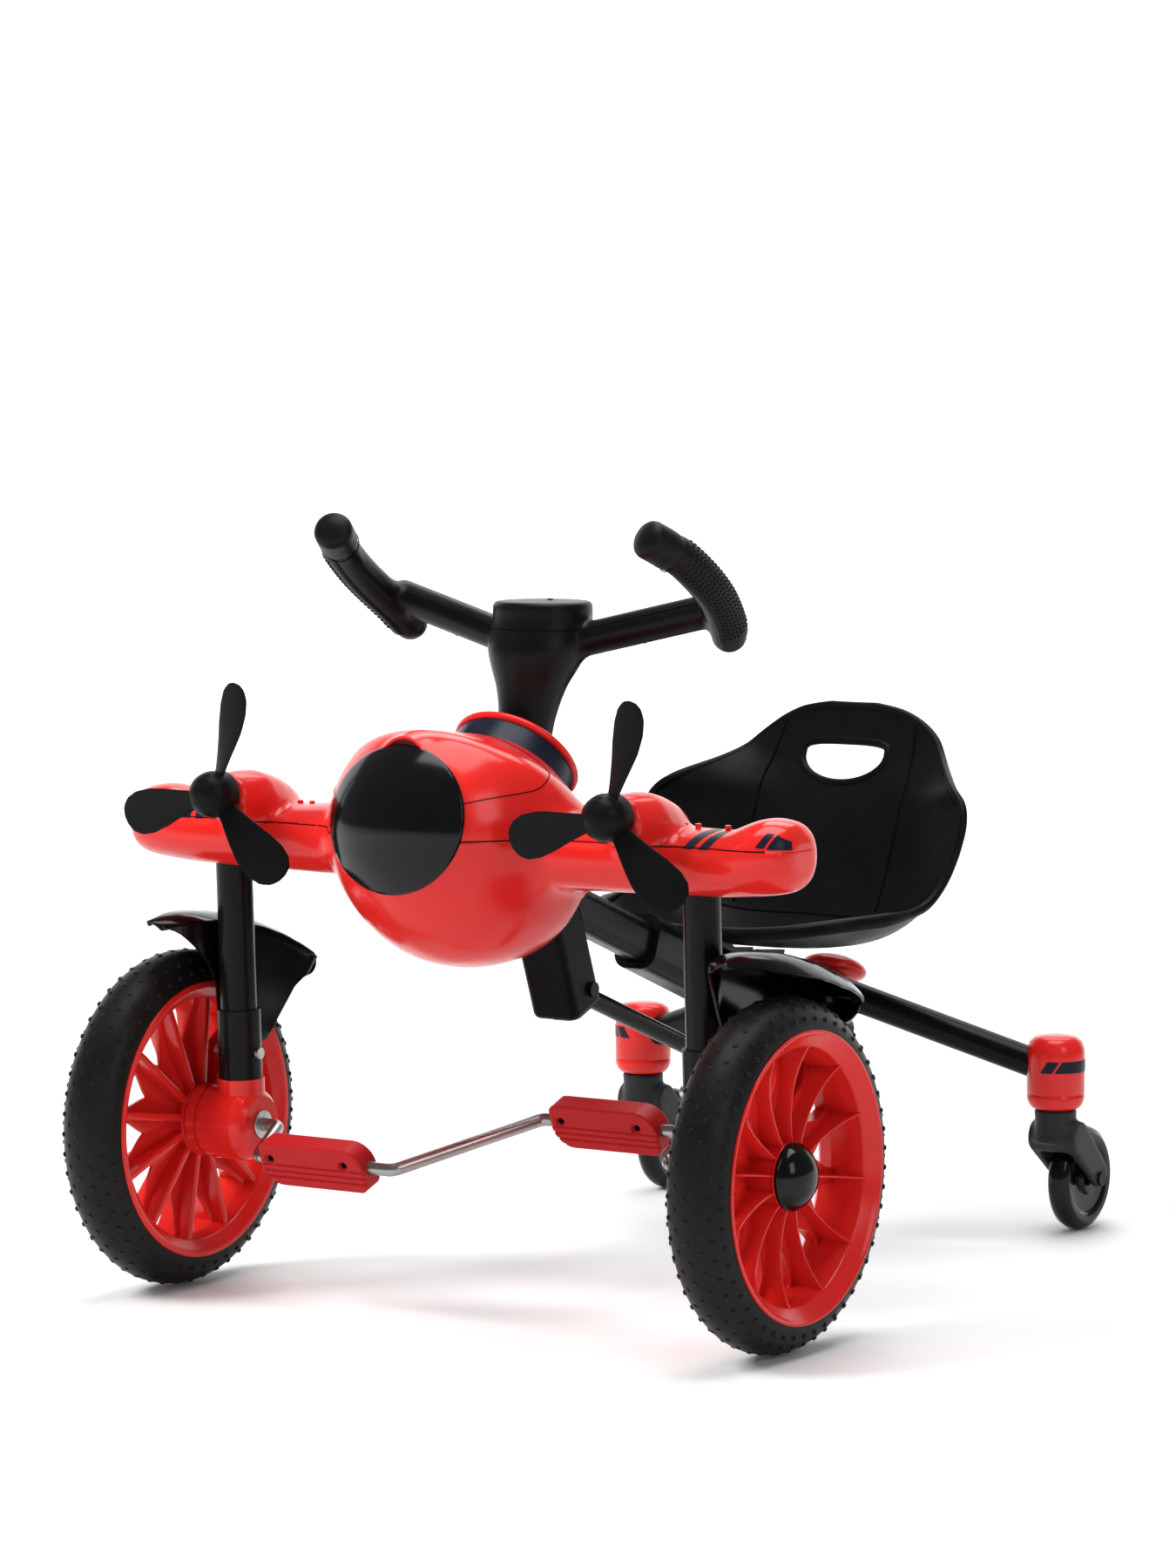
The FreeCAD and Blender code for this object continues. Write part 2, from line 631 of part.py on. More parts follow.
def handlebar_shells():
    """Lower moulding (stem, bulge, arm undersides) and upper moulding (head cap, arm tops)."""
    head = rod(HEAD_CAP_R, V(0, HEAD_Y, HEAD_SEAM_Z), V(0, HEAD_Y, HEAD_TOP_Z))
    cap = head.makeFillet(3.5, [e for e in head.Edges if e.BoundBox.ZMin > HEAD_TOP_Z - 0.1])
    cap_hollow = rod(HEAD_CAP_R - 4, V(0, HEAD_Y, HEAD_SEAM_Z - 1), V(0, HEAD_Y, HEAD_TOP_Z - 4))
    upper_arm = arm_cover().common(arm_split())
    lower_arm = arm_cover().cut(arm_split())
    upper = cap.fuse(upper_arm).fuse(mirrored(upper_arm)).cut(cap_hollow)
    lower = lofted(stem_sections(0)).fuse(lower_arm).fuse(mirrored(lower_arm))
    lower = lower.cut(head).cut(lofted(stem_sections(4)))
    upper = upper.cut(lofted(stem_sections(0)))
    for x_sign in (1, -1):
        bore = on_side(rod(BAR_R + 1.2, on_arm(20), on_arm(ARM_COVER_END + 2)), x_sign)
        upper = upper.cut(bore)
        lower = lower.cut(bore)
    return lower, upper


def column():
    """Steering column, bent back under the handlebar, with the clamp block welded on top."""
    knee = on_axis(176)
    tube = bent_rod([on_axis(COLUMN_FOOT), knee, V(0, 110, 564)], 60.0, COLUMN_R)
    clamp = box(-18, 18, HEAD_Y - 16, HEAD_Y + 18, 545, 577)
    return tube.fuse(clamp).cut(handlebar_tube())


def grip():
    """Grip sleeve with the short socket that meets the end of the arm cover."""
    sleeve = bent_rod(grip_path(), 16.0, GRIP_R)
    sleeve = sleeve.cut(rod(ARM_R + 0.2, on_arm(100), on_arm(ARM_COVER_END + 0.3)))
    socket = rod(ARM_R, on_arm(ARM_COVER_END + 0.3), on_arm(164))
    return sleeve.fuse(socket).cut(handlebar_tube())


def grip_cap():
    path = grip_path()
    end = path[-1]
    direction = (path[-1] - path[-2]).normalize()
    plug = rod(GRIP_R + 0.6, end, end + direction * 9)
    far_edge = [e for e in plug.Edges if len(e.Vertexes) == 1
                and (e.CenterOfMass - (end + direction * 9)).Length < 0.5]
    return plug.makeFillet(4.0, far_edge)


# ---- main frame ---------------------------------------------------------------------------------
def main_frame():
    """Head tube welded to the main tube."""
    head = rod(HEAD_R, on_axis(HEAD_S[0]), on_axis(HEAD_S[1]))
    tube = along_tube(rounded_bar(MAIN_W, MAIN_H, MAIN_T[1], 11.0), 0.0)
    inner = along_tube(rounded_bar(MAIN_W - 4, MAIN_H - 4, MAIN_T[1], 9.0), 30.0)
    frame = head.fuse(tube.cut(inner))
    return frame.cut(rod(COLUMN_R + 3.0, on_axis(-60), on_axis(120)))


def steering_bushes():
    bushes = []
    for low in (HEAD_S[0], HEAD_S[1] - 16):
        bush = rod(COLUMN_R + 3.0, on_axis(low), on_axis(low + 16))
        bushes.append(bush.cut(rod(COLUMN_R + FIT, on_axis(low - 1), on_axis(low + 17))))
    return group(bushes)


def column_shell():
    """Rounded square housing round the head tube; split down the middle."""
    body = in_frame(rounded_bar(SHELL_W, SHELL_D, 140.0, 9.0), on_axis(-36), STEER_AXIS, X_AXIS)
    bottom = [e for e in body.Edges if (e.CenterOfMass - on_axis(-36)).dot(STEER_AXIS) < 0.5]
    body = body.makeFillet(6.0, bottom)
    foot = in_frame(rounded_bar(SHELL_W, 30.0, 66.0, 9.0), on_axis(-36) + V(0, 12, 0), STEER_AXIS, X_AXIS)
    body = body.fuse(foot)
    body = body.cut(rod(HEAD_R, on_axis(HEAD_S[0]), on_axis(120)))
    body = body.cut(rod(COLUMN_R + 1.2, on_axis(COLUMN_FOOT - 1), on_axis(0)))
    body = body.cut(along_tube(rounded_bar(MAIN_W, MAIN_H, 200, 11.0), 0.0))
    brace = rod(BRACE_R, on_tube(BRACE_T[0], BRACE_N), on_tube(BRACE_T[1], BRACE_N))
    bolt = rod(3.5, on_tube(70, BRACE_N, -60), on_tube(70, BRACE_N, 60))
    return body.cut(brace).cut(bolt)


def shell_half(sign):
    half = box(min(0, sign * 60), max(0, sign * 60), 0, 300, 150, 500)
    return column_shell().common(half)


def brace_tube():
    tube = pipe_between(BRACE_R, BRACE_R - 1.5, on_tube(BRACE_T[0], BRACE_N), on_tube(BRACE_T[1], BRACE_N))
    return tube.cut(rod(3.5, on_tube(70, BRACE_N, -60), on_tube(70, BRACE_N, 60)))


def brace_bolt():
    half = SHELL_W / 2
    shank = rod(3.5, on_tube(70, BRACE_N, -half - 3), on_tube(70, BRACE_N, half + 1))
    head = rod(6.5, on_tube(70, BRACE_N, half), on_tube(70, BRACE_N, half + 3.5))
    nut = rod(6.5, on_tube(70, BRACE_N, -half - 4), on_tube(70, BRACE_N, -half))
    return shank.fuse([head, nut])


# ---- rear frame ---------------------------------------------------------------------------------
def leg_end(side):
    return V(side * CASTER_X, CASTER_Y, 150.0)


def leg_start(side):
    return on_tube(462, 41, side * 8)


def rear_frame():
    """Sleeve that slides on the main tube, two spread legs and a socket on the end of each."""
    length = SLEEVE_T[1] - SLEEVE_T[0]
    sleeve = along_tube(rounded_bar(SLEEVE_W, SLEEVE_H, length, 14.0), SLEEVE_T[0])
    bore = along_tube(rounded_bar(MAIN_W + 0.6, MAIN_H + 0.6, length + 20, 11.3), SLEEVE_T[0] - 10)
    saddle = along_tube(Part.makeBox(86, 34, 10, V(0, -17, 24)), 428)
    pieces = [saddle]
    for side in (1, -1):
        pieces.append(rod(LEG_R, leg_start(side), leg_end(side)))
        pieces.append(rod(17.0, V(side * CASTER_X, CASTER_Y, 121), V(side * CASTER_X, CASTER_Y, 176)))
    frame = sleeve.fuse(pieces).cut(bore)
    for side in (1, -1):
        frame = frame.cut(rod(KINGPIN_R, V(side * CASTER_X, CASTER_Y, 100), V(side * CASTER_X, CASTER_Y, 190)))
    return frame.cut(rod(6.0 + FIT, on_tube(500, 0), on_tube(500, 60)))


def brace_guide():
    """Plate under the sleeve with an eye that the brace tube slides through."""
    web = along_tube(Part.makeBox(36, 6, 56, V(0, -3, -82)), 352)
    flange = along_tube(Part.makeBox(36, 26, 4, V(0, -13, -29)), 352)
    eye = rod(14.0, on_tube(350, BRACE_N), on_tube(390, BRACE_N))
    solid = web.fuse([flange, eye])
    return solid.cut(rod(BRACE_R + 0.3, on_tube(340, BRACE_N), on_tube(400, BRACE_N)))


def caster_cap():
    low, high = CAP_Z
    profile = [(0, 17.2), (0, 21), (3, 23.5), (9, CASTER_CAP_R), (14, CASTER_CAP_R), (14.6, CASTER_CAP_R - 0.7),
               (15.4, CASTER_CAP_R - 0.7), (16, CASTER_CAP_R), (55, CASTER_CAP_R - 0.6), (61, 24.0),
               (65, 20.0), (67, 13.0), (67, 0), (63.5, 0), (63.5, 12), (60, 17.2)]
    cap = revolved(profile, V(CASTER_X, CASTER_Y, low), Z_AXIS)
    return cap.cut(rod(LEG_R + 0.1, leg_start(1), leg_end(1))).cut(
        rod(KINGPIN_R + 3, V(CASTER_X, CASTER_Y, low - 1), V(CASTER_X, CASTER_Y, high - 3.6)))


def kingpins():
    pins = []
    for side in (1, -1):
        centre_x = side * CASTER_X
        pin = rod(KINGPIN_R, V(centre_x, CASTER_Y, 92), V(centre_x, CASTER_Y, 178.5))
        head = rod(9.0, V(centre_x, CASTER_Y, 88), V(centre_x, CASTER_Y, 93.5))
        pins.append(pin.fuse(head))
    return group(pins)


def caster_fork():
    """Swivel fork: neck on the kingpin, a hood over the wheel and two arms down to its axle."""
    wheel_y = CASTER_Y + CASTER_TRAIL
    neck = Part.makeCone(21.0, 19.0, 19.0, V(CASTER_X, CASTER_Y, 96.5), Z_AXIS)
    outline = [V(0, 594, 90), V(0, 598, 99), V(0, 604, 104), V(0, 646, 108), V(0, 681, 56), V(0, 681, 42),
               V(0, 672, 34), V(0, 660, 36), V(0, 600, 80)]
    body = Part.Face(Part.makePolygon(outline + outline[:1])).extrude(X_AXIS * 42)
    body.translate(V(CASTER_X - 21, 0, 0))
    wheel_room = rod(CASTER_R + 4.0, V(CASTER_X - 14, wheel_y, CASTER_R), V(CASTER_X + 14, wheel_y, CASTER_R))
    body = body.cut(wheel_room)
    body = body.cut(box(CASTER_X - 14, CASTER_X + 14, wheel_y, wheel_y + 60, 0, 88))
    fork = body.fuse(neck)
    fork = fork.cut(rod(KINGPIN_R + FIT, V(CASTER_X, CASTER_Y, 85), V(CASTER_X, CASTER_Y, 120)))
    fork = fork.cut(rod(9.6, V(CASTER_X, CASTER_Y, 70), V(CASTER_X, CASTER_Y, 94)))
    return fork.cut(rod(4.0, V(CASTER_X - 30, wheel_y, CASTER_R), V(CASTER_X + 30, wheel_y, CASTER_R)))


def caster_axle():
    wheel_y = CASTER_Y + CASTER_TRAIL
    shank = rod(4.0, V(CASTER_X - 22, wheel_y, CASTER_R), V(CASTER_X + 22, wheel_y, CASTER_R))
    heads = [rod(6.5, V(CASTER_X + sign * 21, wheel_y, CASTER_R), V(CASTER_X + sign * 24, wheel_y, CASTER_R))
             for sign in (-1, 1)]
    return shank.fuse(heads)


def caster_wheel():
    profile = [(-CASTER_HALF_W, 0), (-CASTER_HALF_W, 14), (-8, 16), (-8, 30), (-10.5, 34), (-11, 40),
               (-8, 45), (-3.5, 47.2), (0, CASTER_R), (3.5, 47.2), (8, 45), (11, 40), (10.5, 34),
               (8, 30), (8, 16), (CASTER_HALF_W, 14), (CASTER_HALF_W, 0)]
    centre = V(CASTER_X, CASTER_Y + CASTER_TRAIL, CASTER_R)
    wheel = revolved(profile, centre, X_AXIS)
    return wheel.cut(rod(4.0 + FIT, centre - X_AXIS * 20, centre + X_AXIS * 20))


def lock_knob():
    centre = on_tube(500, 64)
    ball = Part.makeSphere(1.0)
    matrix = FreeCAD.Matrix()
    matrix.scale(30.0, 30.0, 12.5)
    disc = in_frame(ball.transformGeometry(matrix), centre, TUBE_AXIS, TUBE_UP)
    return disc.fuse(rod(6.0, on_tube(500, 19.5), on_tube(500, 62)))


# rows of the bucket: spine y, z; half width; rim y, z
SEAT_ROWS = (
    (367, 286, 92, 372, 294), (392, 279, 128, 398, 298), (440, 270, 146, 442, 302), (490, 265, 152, 478, 306),
    (530, 269, 158, 510, 322), (557, 296, 163, 528, 352), (577, 335, 165, 541, 388), (597, 375, 146, 566, 414),
    (615, 415, 112, 607, 436), (628, 450, 82, 628, 456), (634, 470, 56, 634, 472))


def seat():
    """Thin moulded bucket: its sides rise from a flat middle towards a curved rim."""
    grid = []
    for spine_y, spine_z, half, rim_y, rim_z in SEAT_ROWS:
        row = []
        for i in range(-6, 7):
            t = abs(i) / 6.0
            rise = t ** 3.2
            row.append(V(half * math.copysign(t ** 0.92, i), spine_y + (rim_y - spine_y) * rise,
                         spine_z + (rim_z - spine_z) * rise))
        grid.append(row)
    surface = Part.BSplineSurface()
    surface.interpolate(grid)
    shell = surface.toShape().makeOffsetShape(SEAT_T, 0.01, fill=True)
    hole = [ellipse_wire(V(0, y, z), X_AXIS, V(0, 0.4, 0.917), 44, 17) for y, z in ((560, 440), (680, 408))]
    return shell.cut(lofted(hole))


def seat_bracket():
    """Pressed channel between the sleeve and the underside of the seat."""
    low = along_tube(Part.makeBox(150, 36, 3, V(0, -18, 25)), 250)
    walls = [along_tube(Part.makeBox(110, 3, 30, V(0, y, 25)), 268) for y in (-18, 15)]
    solid = low.fuse(walls)
    return solid.cut([seat_under(), seat()])


def seat_under():
    """Block filling the seat and everything above it, used to trim the bracket to the seat."""
    outline = [V(-60, y, z - SEAT_T - 0.3) for y, z, _, _, _ in SEAT_ROWS[:6]]
    outline += [V(-60, 557, 420), V(-60, 300, 420), V(-60, 300, 282)]
    return Part.Face(Part.makePolygon(outline + outline[:1])).extrude(X_AXIS * 120)


# ---- write every node ---------------------------------------------------------------------------
def write_sided(name, shape):
    for label, side in SIDES:
        save(on_side(shape, side), label + "_" + name)


write_sided("tyre", tyre())
save(rim(ROD_R), "left_rim")
save(mirrored(rim(ROD_R + FIT)), "right_rim")
write_sided("hub_cap", hub_cap())
save(group([axle_nut(), mirrored(axle_nut())]), "axle_nuts")
save(crank_rod(), "crank_rod")
for label, side in SIDES:
    front, back = pedal_halves(side)
    save(front, label + "_pedal_front")
    save(back, label + "_pedal_back")
    save(pedal_screws(side), label + "_pedal_screws")

save(fork_frame(), "fork_frame")
write_sided("leg_sleeve", fork_sleeve())
save(leg_bolts(), "leg_bolts")
write_sided("hub_housing", hub_housing())
save(axle_bushes(), "axle_bushes")
write_sided("fender", fender())

upper_shell, lower_shell, hood_panel = plane_shells()
save(upper_shell, "plane_upper_shell")
save(lower_shell, "plane_lower_shell")
save(hood_panel, "hood_panel")
save(nose_dome(), "nose_dome")
save(cockpit_collar(), "cockpit_collar")
save(cockpit_rim(), "cockpit_rim")
save(wing_rivets(), "wing_rivets")
save(propeller_pins(), "propeller_pins")
for label, side in SIDES:
    save(propeller(side), label + "_propeller")

save(column(), "steering_column")
save(handlebar_tube(), "handlebar_tube")
lower_cover, upper_cover = handlebar_shells()
save(lower_cover, "stem_cover")
save(upper_cover, "handlebar_cover")
write_sided("grip", grip())
save(group([grip_cap(), mirrored(grip_cap())]), "grip_caps")

save(main_frame(), "main_frame")
save(steering_bushes(), "steering_bushes")
save(shell_half(1), "column_housing_left")
save(shell_half(-1), "column_housing_right")
save(brace_tube(), "brace_tube")
save(brace_bolt(), "brace_bolt")

save(rear_frame(), "rear_frame")
save(brace_guide(), "brace_guide")
write_sided("caster_cap", caster_cap())
save(kingpins(), "kingpins")
write_sided("caster_fork", caster_fork())
write_sided("caster_axle", caster_axle())
write_sided("caster_wheel", caster_wheel())
save(lock_knob(), "lock_knob")
save(seat(), "seat")
save(seat_bracket(), "seat_bracket")
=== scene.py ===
import json
import math

import bmesh
import bpy
import numpy as np
from mathutils import Matrix, Vector


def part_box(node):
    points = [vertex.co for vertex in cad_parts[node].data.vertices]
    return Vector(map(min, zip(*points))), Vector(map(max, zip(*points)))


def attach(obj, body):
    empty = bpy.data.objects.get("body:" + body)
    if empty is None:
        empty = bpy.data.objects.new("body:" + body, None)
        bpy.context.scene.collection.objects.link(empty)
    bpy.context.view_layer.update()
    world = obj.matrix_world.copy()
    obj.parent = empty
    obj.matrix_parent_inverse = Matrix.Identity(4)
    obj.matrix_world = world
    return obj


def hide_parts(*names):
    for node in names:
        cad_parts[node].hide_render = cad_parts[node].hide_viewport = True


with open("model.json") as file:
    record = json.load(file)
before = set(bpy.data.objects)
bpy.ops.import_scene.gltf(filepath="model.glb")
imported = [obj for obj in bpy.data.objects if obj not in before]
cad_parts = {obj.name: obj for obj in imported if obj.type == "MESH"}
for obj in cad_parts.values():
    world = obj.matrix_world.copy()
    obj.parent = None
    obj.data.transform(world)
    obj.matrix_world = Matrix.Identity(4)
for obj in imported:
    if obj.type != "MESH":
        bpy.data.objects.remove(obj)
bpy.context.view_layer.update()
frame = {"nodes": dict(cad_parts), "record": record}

# Lengths are in millimetres until they reach a mesh. Places are measured from the point on the ground
# below the middle of the front axle: +X is the rider's left, -Y is forward.
MM = 0.001
AXLE = (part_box("left_tyre")[0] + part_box("left_tyre")[1]) / 2
SIDES = (("left", 1), ("right", -1))

# the photograph's viewpoint: its place, its angles in degrees and the lens in millimetres
CAMERA_AT = (2535.6, -3757.5, 840.0)
CAMERA_AZIMUTH = 32.76
CAMERA_ELEVATION = 4.98
CAMERA_LENS = 126.7

TYRE_R = 145.0
WHEEL_X = 298.5


# ---- geometry helpers
def at(x, y, z):
    """Place in the design's millimetres as a point of the scene."""
    return Vector((x * MM, y * MM + AXLE.y, z * MM))


def placed(name, data):
    """New object in the scene."""
    item = bpy.data.objects.new(name, data)
    bpy.context.scene.collection.objects.link(item)
    return item


def mesh_piece(name, vertices, faces, material, body, slot, replaced=(), sharp=None):
    """New piece from design millimetres, riding on its body and standing for the replaced nodes."""
    mesh = bpy.data.meshes.new(name)
    mesh.from_pydata([at(*v) for v in vertices], [], [tuple(int(i) for i in f) for f in faces])
    mesh.validate()
    tool = bmesh.new()
    tool.from_mesh(mesh)
    bmesh.ops.recalc_face_normals(tool, faces=tool.faces)
    tool.to_mesh(mesh)
    tool.free()
    mesh.shade_smooth()
    if sharp:
        mesh.set_sharp_from_angle(angle=math.radians(sharp))
    mesh.materials.append(material)
    piece = placed(name, mesh)
    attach(piece, body)
    if replaced:
        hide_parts(*replaced)
    return piece


def side_piece(label, name, part, material, body, slot, *nodes, sharp=None):
    """One of a mirrored pair; the part and the names of its nodes are the left one's."""
    part = on_side(part, dict(SIDES)[label])
    return mesh_piece(label + name, *part, material, body, slot, [label + node for node in nodes], sharp)


def flipped(part):
    """The same (vertices, faces) mirrored to the rider's right."""
    vertices, faces = part
    return [(-v[0], v[1], v[2]) for v in vertices], [tuple(reversed(f)) for f in faces]


def on_side(part, side):
    return part if side > 0 else flipped(part)


def merged(parts):
    vertices, faces = [], []
    for part_vertices, part_faces in parts:
        start = len(vertices)
        vertices += list(part_vertices)
        faces += [tuple(i + start for i in f) for f in part_faces]
    return vertices, faces


def moved(part, place):
    matrix = Matrix(place)
    return [tuple(matrix @ Vector(v)) for v in part[0]], part[1]


def shifted(part, by):
    return [(v[0] + by[0], v[1] + by[1], v[2] + by[2]) for v in part[0]], part[1]


def grid(rows, wrap_rows=False, wrap_columns=False):
    """Quads over rows of points that all have the same length."""
    height, width = len(rows), len(rows[0])
    faces = []
    for i in range(height if wrap_rows else height - 1):
        for j in range(width if wrap_columns else width - 1):
            below, right = (i + 1) % height, (j + 1) % width
            faces.append((i * width + j, i * width + right, below * width + right, below * width + j))
    return [p for row in rows for p in row], faces


def lathe_x(profile, centre, segments=96):
    """Solid of revolution about a line along X; the profile is (along, radius) points."""
    cx, cy, cz = centre
    rows = []
    for i in range(segments):
        turn = 2 * math.pi * i / segments
        rows.append([(cx + x, cy + r * math.sin(turn), cz + r * math.cos(turn)) for x, r in profile])
    return grid(rows, wrap_rows=True, wrap_columns=True)


def rounded_profile(corners, radius, steps=4):
    """Closed profile with each corner turned into a small arc."""
    points = []
    count = len(corners)
    for i in range(count):
        here = Vector(corners[i])
        back = Vector(corners[i - 1]) - here
        ahead = Vector(corners[(i + 1) % count]) - here
        reach = min(radius, back.length * 0.45, ahead.length * 0.45)
        start, end = here + back.normalized() * reach, here + ahead.normalized() * reach
        for j in range(steps + 1):
            t = j / steps
            points.append(tuple(start * (1 - t) ** 2 + here * 2 * t * (1 - t) + end * t ** 2))
    return points


def spline(p0, p1, p2, p3, t):
    """Point at t (0 to 1) between p1 and p2 on the smooth curve through all four."""
    return 0.5 * (2 * p1 + (p2 - p0) * t + (2 * p0 - 5 * p1 + 4 * p2 - p3) * t ** 2
                  + (3 * p1 - p0 - 3 * p2 + p3) * t ** 3)


def smooth_line(points, count):
    """Evenly spread points on a smooth open curve through the given ones."""
    pts = np.array(points, float)
    ends = np.vstack([2 * pts[0] - pts[1], pts, 2 * pts[-1] - pts[-2]])
    dense = []
    for i in range(1, len(ends) - 2):
        for t in np.linspace(0, 1, 40, endpoint=False):
            dense.append(spline(*ends[i - 1:i + 3], t))
    dense.append(pts[-1])
    dense = np.array(dense)
    length = np.concatenate([[0], np.cumsum(np.linalg.norm(np.diff(dense, axis=0), axis=1))])
    want = np.linspace(0, length[-1], count)
    return np.stack([np.interp(want, length, dense[:, k]) for k in range(3)], 1)


def around(count):
    return np.linspace(0, 2 * math.pi, count, endpoint=False)


def arc(centre, first, second, radius, turns):
    """Points at the given turns of the circle that two unit directions span."""
    return [tuple(centre + radius * (math.cos(a) * first + math.sin(a) * second)) for a in turns]


def frames_along(path, up=(1.0, 0.0, 0.0)):
    """Two unit cross directions at each point of a path; the first stays close to up."""
    tangents = np.gradient(path, axis=0)
    tangents /= np.linalg.norm(tangents, axis=1, keepdims=True)
    first = np.array(up) - tangents * (tangents @ np.array(up))[:, None]
    first /= np.linalg.norm(first, axis=1, keepdims=True)
    return first, np.cross(tangents, first)


def end_caps(count, width):
    """Faces that close both ends of a wrapped grid of count points in rows of width."""
    return [tuple(range(width))[::-1], tuple(range(count - width, count))]


def with_tip(rows, tip):
    """Wrapped grid whose last row closes on a point."""
    vertices, faces = grid(rows, wrap_columns=True)
    width, top = len(rows[0]), len(vertices)
    faces += [(top - width + j, top - width + (j + 1) % width, top) for j in range(width)]
    return vertices + [tip], faces


def tube(path, radius, sides=12, caps=True):
    """Round tube along a path; radius is a number or one number per point."""
    path = np.array(path, float)
    first, second = frames_along(path, up=(0.31, 0.17, 0.93))
    radii = np.broadcast_to(radius, len(path))
    rows = []
    for p, u, v, r in zip(path, first, second, radii):
        rows.append(arc(p, u, v, r, around(sides)))
    vertices, faces = grid(rows, wrap_columns=True)
    if caps:
        faces += end_caps(len(vertices), sides)
    return vertices, faces


def dome(centre, normal, radius, height, rings=3, sides=10, sink=0.4):
    """Low dome standing on a surface, such as a nub or a screw head."""
    normal = np.array(normal, float) / np.linalg.norm(normal)
    side = np.cross(normal, (0.3, 0.5, 0.8))
    side /= np.linalg.norm(side)
    other = np.cross(normal, side)
    rows = []
    for i in range(rings):
        lift = math.pi / 2 * i / rings
        ring, rise = radius * math.cos(lift), height * math.sin(lift)
        base = np.array(centre) + normal * (rise - (sink if i == 0 else 0))
        rows.append(arc(base, side, other, ring, around(sides)))
    vertices, faces = with_tip(rows, tuple(np.array(centre) + normal * height))
    faces.append(tuple(range(sides))[::-1])
    return vertices, faces


# ---- sculpted surfaces: level sets of distance-like fields
def smooth_min(a, b, k):
    h = np.clip(0.5 + 0.5 * (b - a) / k, 0, 1)
    return b * (1 - h) + a * h - k * h * (1 - h)


def smooth_max(a, b, k):
    return -smooth_min(-a, -b, k)


def to_line(points, start, end):
    """How far along a line (0 to 1) each point's nearest place is, and the distance to it."""
    span = end - start
    along = np.clip((points - start) @ span / (span @ span), 0, 1)
    return along, np.linalg.norm(points - start - along[:, None] * span, axis=1)


def gradient(field, points):
    step = 0.4
    parts = []
    for axis in range(3):
        shift = np.zeros(3)
        shift[axis] = step
        parts.append((field(points + shift) - field(points - shift)) / (2 * step))
    return np.stack(parts, 1)


def settle(field, points, rounds=4):
    """Moves points onto the field's zero surface."""
    for _ in range(rounds):
        slope = gradient(field, points)
        size = np.maximum((slope ** 2).sum(1), 1e-4)
        push = np.clip(field(points) / size, -8, 8)
        points = points - slope * push[:, None]
    return points


def sculpt(field, low, high, step):
    """Quad mesh of the field's zero surface, with its points spread evenly."""
    axes = [np.arange(a, b + step, step) for a, b in zip(low, high)]
    shape = tuple(len(a) for a in axes)
    samples = np.stack(np.meshgrid(*axes, indexing="ij"), -1).reshape(-1, 3)
    inside = (field(samples) < 0).reshape(shape)
    count = sum(inside[i:shape[0] - 1 + i, j:shape[1] - 1 + j, k:shape[2] - 1 + k].astype(int)
                for i in (0, 1) for j in (0, 1) for k in (0, 1))
    active = (count > 0) & (count < 8)
    index = np.full(active.shape, -1)
    index[active] = np.arange(active.sum())
    points = np.argwhere(active) * step + np.array(low) + step / 2
    faces = []
    for axis in range(3):
        one, two = [a for a in range(3) if a != axis]
        near = np.take(inside, range(shape[axis] - 1), axis)
        far = np.take(inside, range(1, shape[axis]), axis)
        for spot in np.argwhere(near != far):
            if spot[one] == 0 or spot[two] == 0 or spot[one] >= shape[one] - 1 or spot[two] >= shape[two] - 1:
                continue
            cells = []
            for a, b in ((0, 0), (-1, 0), (-1, -1), (0, -1)):
                cell = spot.copy()
                cell[one] += a
                cell[two] += b
                cells.append(index[tuple(cell)])
            faces.append(tuple(cells))
    faces = np.array(faces)
    edges = np.concatenate([faces[:, [k, (k + 1) % 4]] for k in range(4)])
    edges = np.unique(np.sort(edges, axis=1), axis=0)
    degree = np.bincount(edges.ravel(), minlength=len(points)).astype(float)[:, None]
    points = settle(field, points)
    for _ in range(5):
        total = np.zeros_like(points)
        np.add.at(total, edges[:, 0], points[edges[:, 1]])
        np.add.at(total, edges[:, 1], points[edges[:, 0]])
        points = settle(field, points * 0.4 + total / degree * 0.6, rounds=2)
    return [tuple(p) for p in points], [tuple(f) for f in faces]


def reworked(part, change):
    """The part after change has worked on it as a bmesh."""
    mesh = bpy.data.meshes.new("scratch")
    mesh.from_pydata(part[0], [], [tuple(int(i) for i in f) for f in part[1]])
    tool = bmesh.new()
    tool.from_mesh(mesh)
    change(tool)
    tool.verts.index_update()
    result = [tuple(v.co) for v in tool.verts], [tuple(v.index for v in f.verts) for f in tool.faces]
    tool.free()
    bpy.data.meshes.remove(mesh)
    return result


def trimmed(part, planes):
    """The part cut by planes; each is (point, normal) and the normal points at what is removed."""
    def cut(tool):
        for point, normal in planes:
            everything = tool.verts[:] + tool.edges[:] + tool.faces[:]
            bmesh.ops.bisect_plane(tool, geom=everything, plane_co=point, plane_no=normal, clear_outer=True,
                                   dist=0.01)
    return reworked(part, cut)


def add_wall(piece, thickness, offset):
    """Gives a sheet its wall; the thickness is in millimetres."""
    wall = piece.modifiers.new("wall", "SOLIDIFY")
    wall.thickness = thickness * MM
    wall.offset = offset


def break_edges(piece, width, angle):
    """Small bevel on edges sharper than angle degrees; the width is in millimetres."""
    edge = piece.modifiers.new("edge", "BEVEL")
    edge.width = width * MM
    edge.segments = 2
    edge.limit_method = "ANGLE"
    edge.angle_limit = math.radians(angle)


def soft_curve(position, stops, values, width):
    """Values at stops joined by a line whose corners are eased over the given width."""
    table = np.arange(min(stops) - 3 * width, max(stops) + 3 * width, 1.0)
    curve = np.interp(table, stops, values)
    box = np.ones(int(width)) / int(width)
    for _ in range(2):
        curve = np.convolve(np.pad(curve, int(width), mode="edge"), box, mode="same")[int(width):-int(width)]
    return np.interp(position, table, curve)


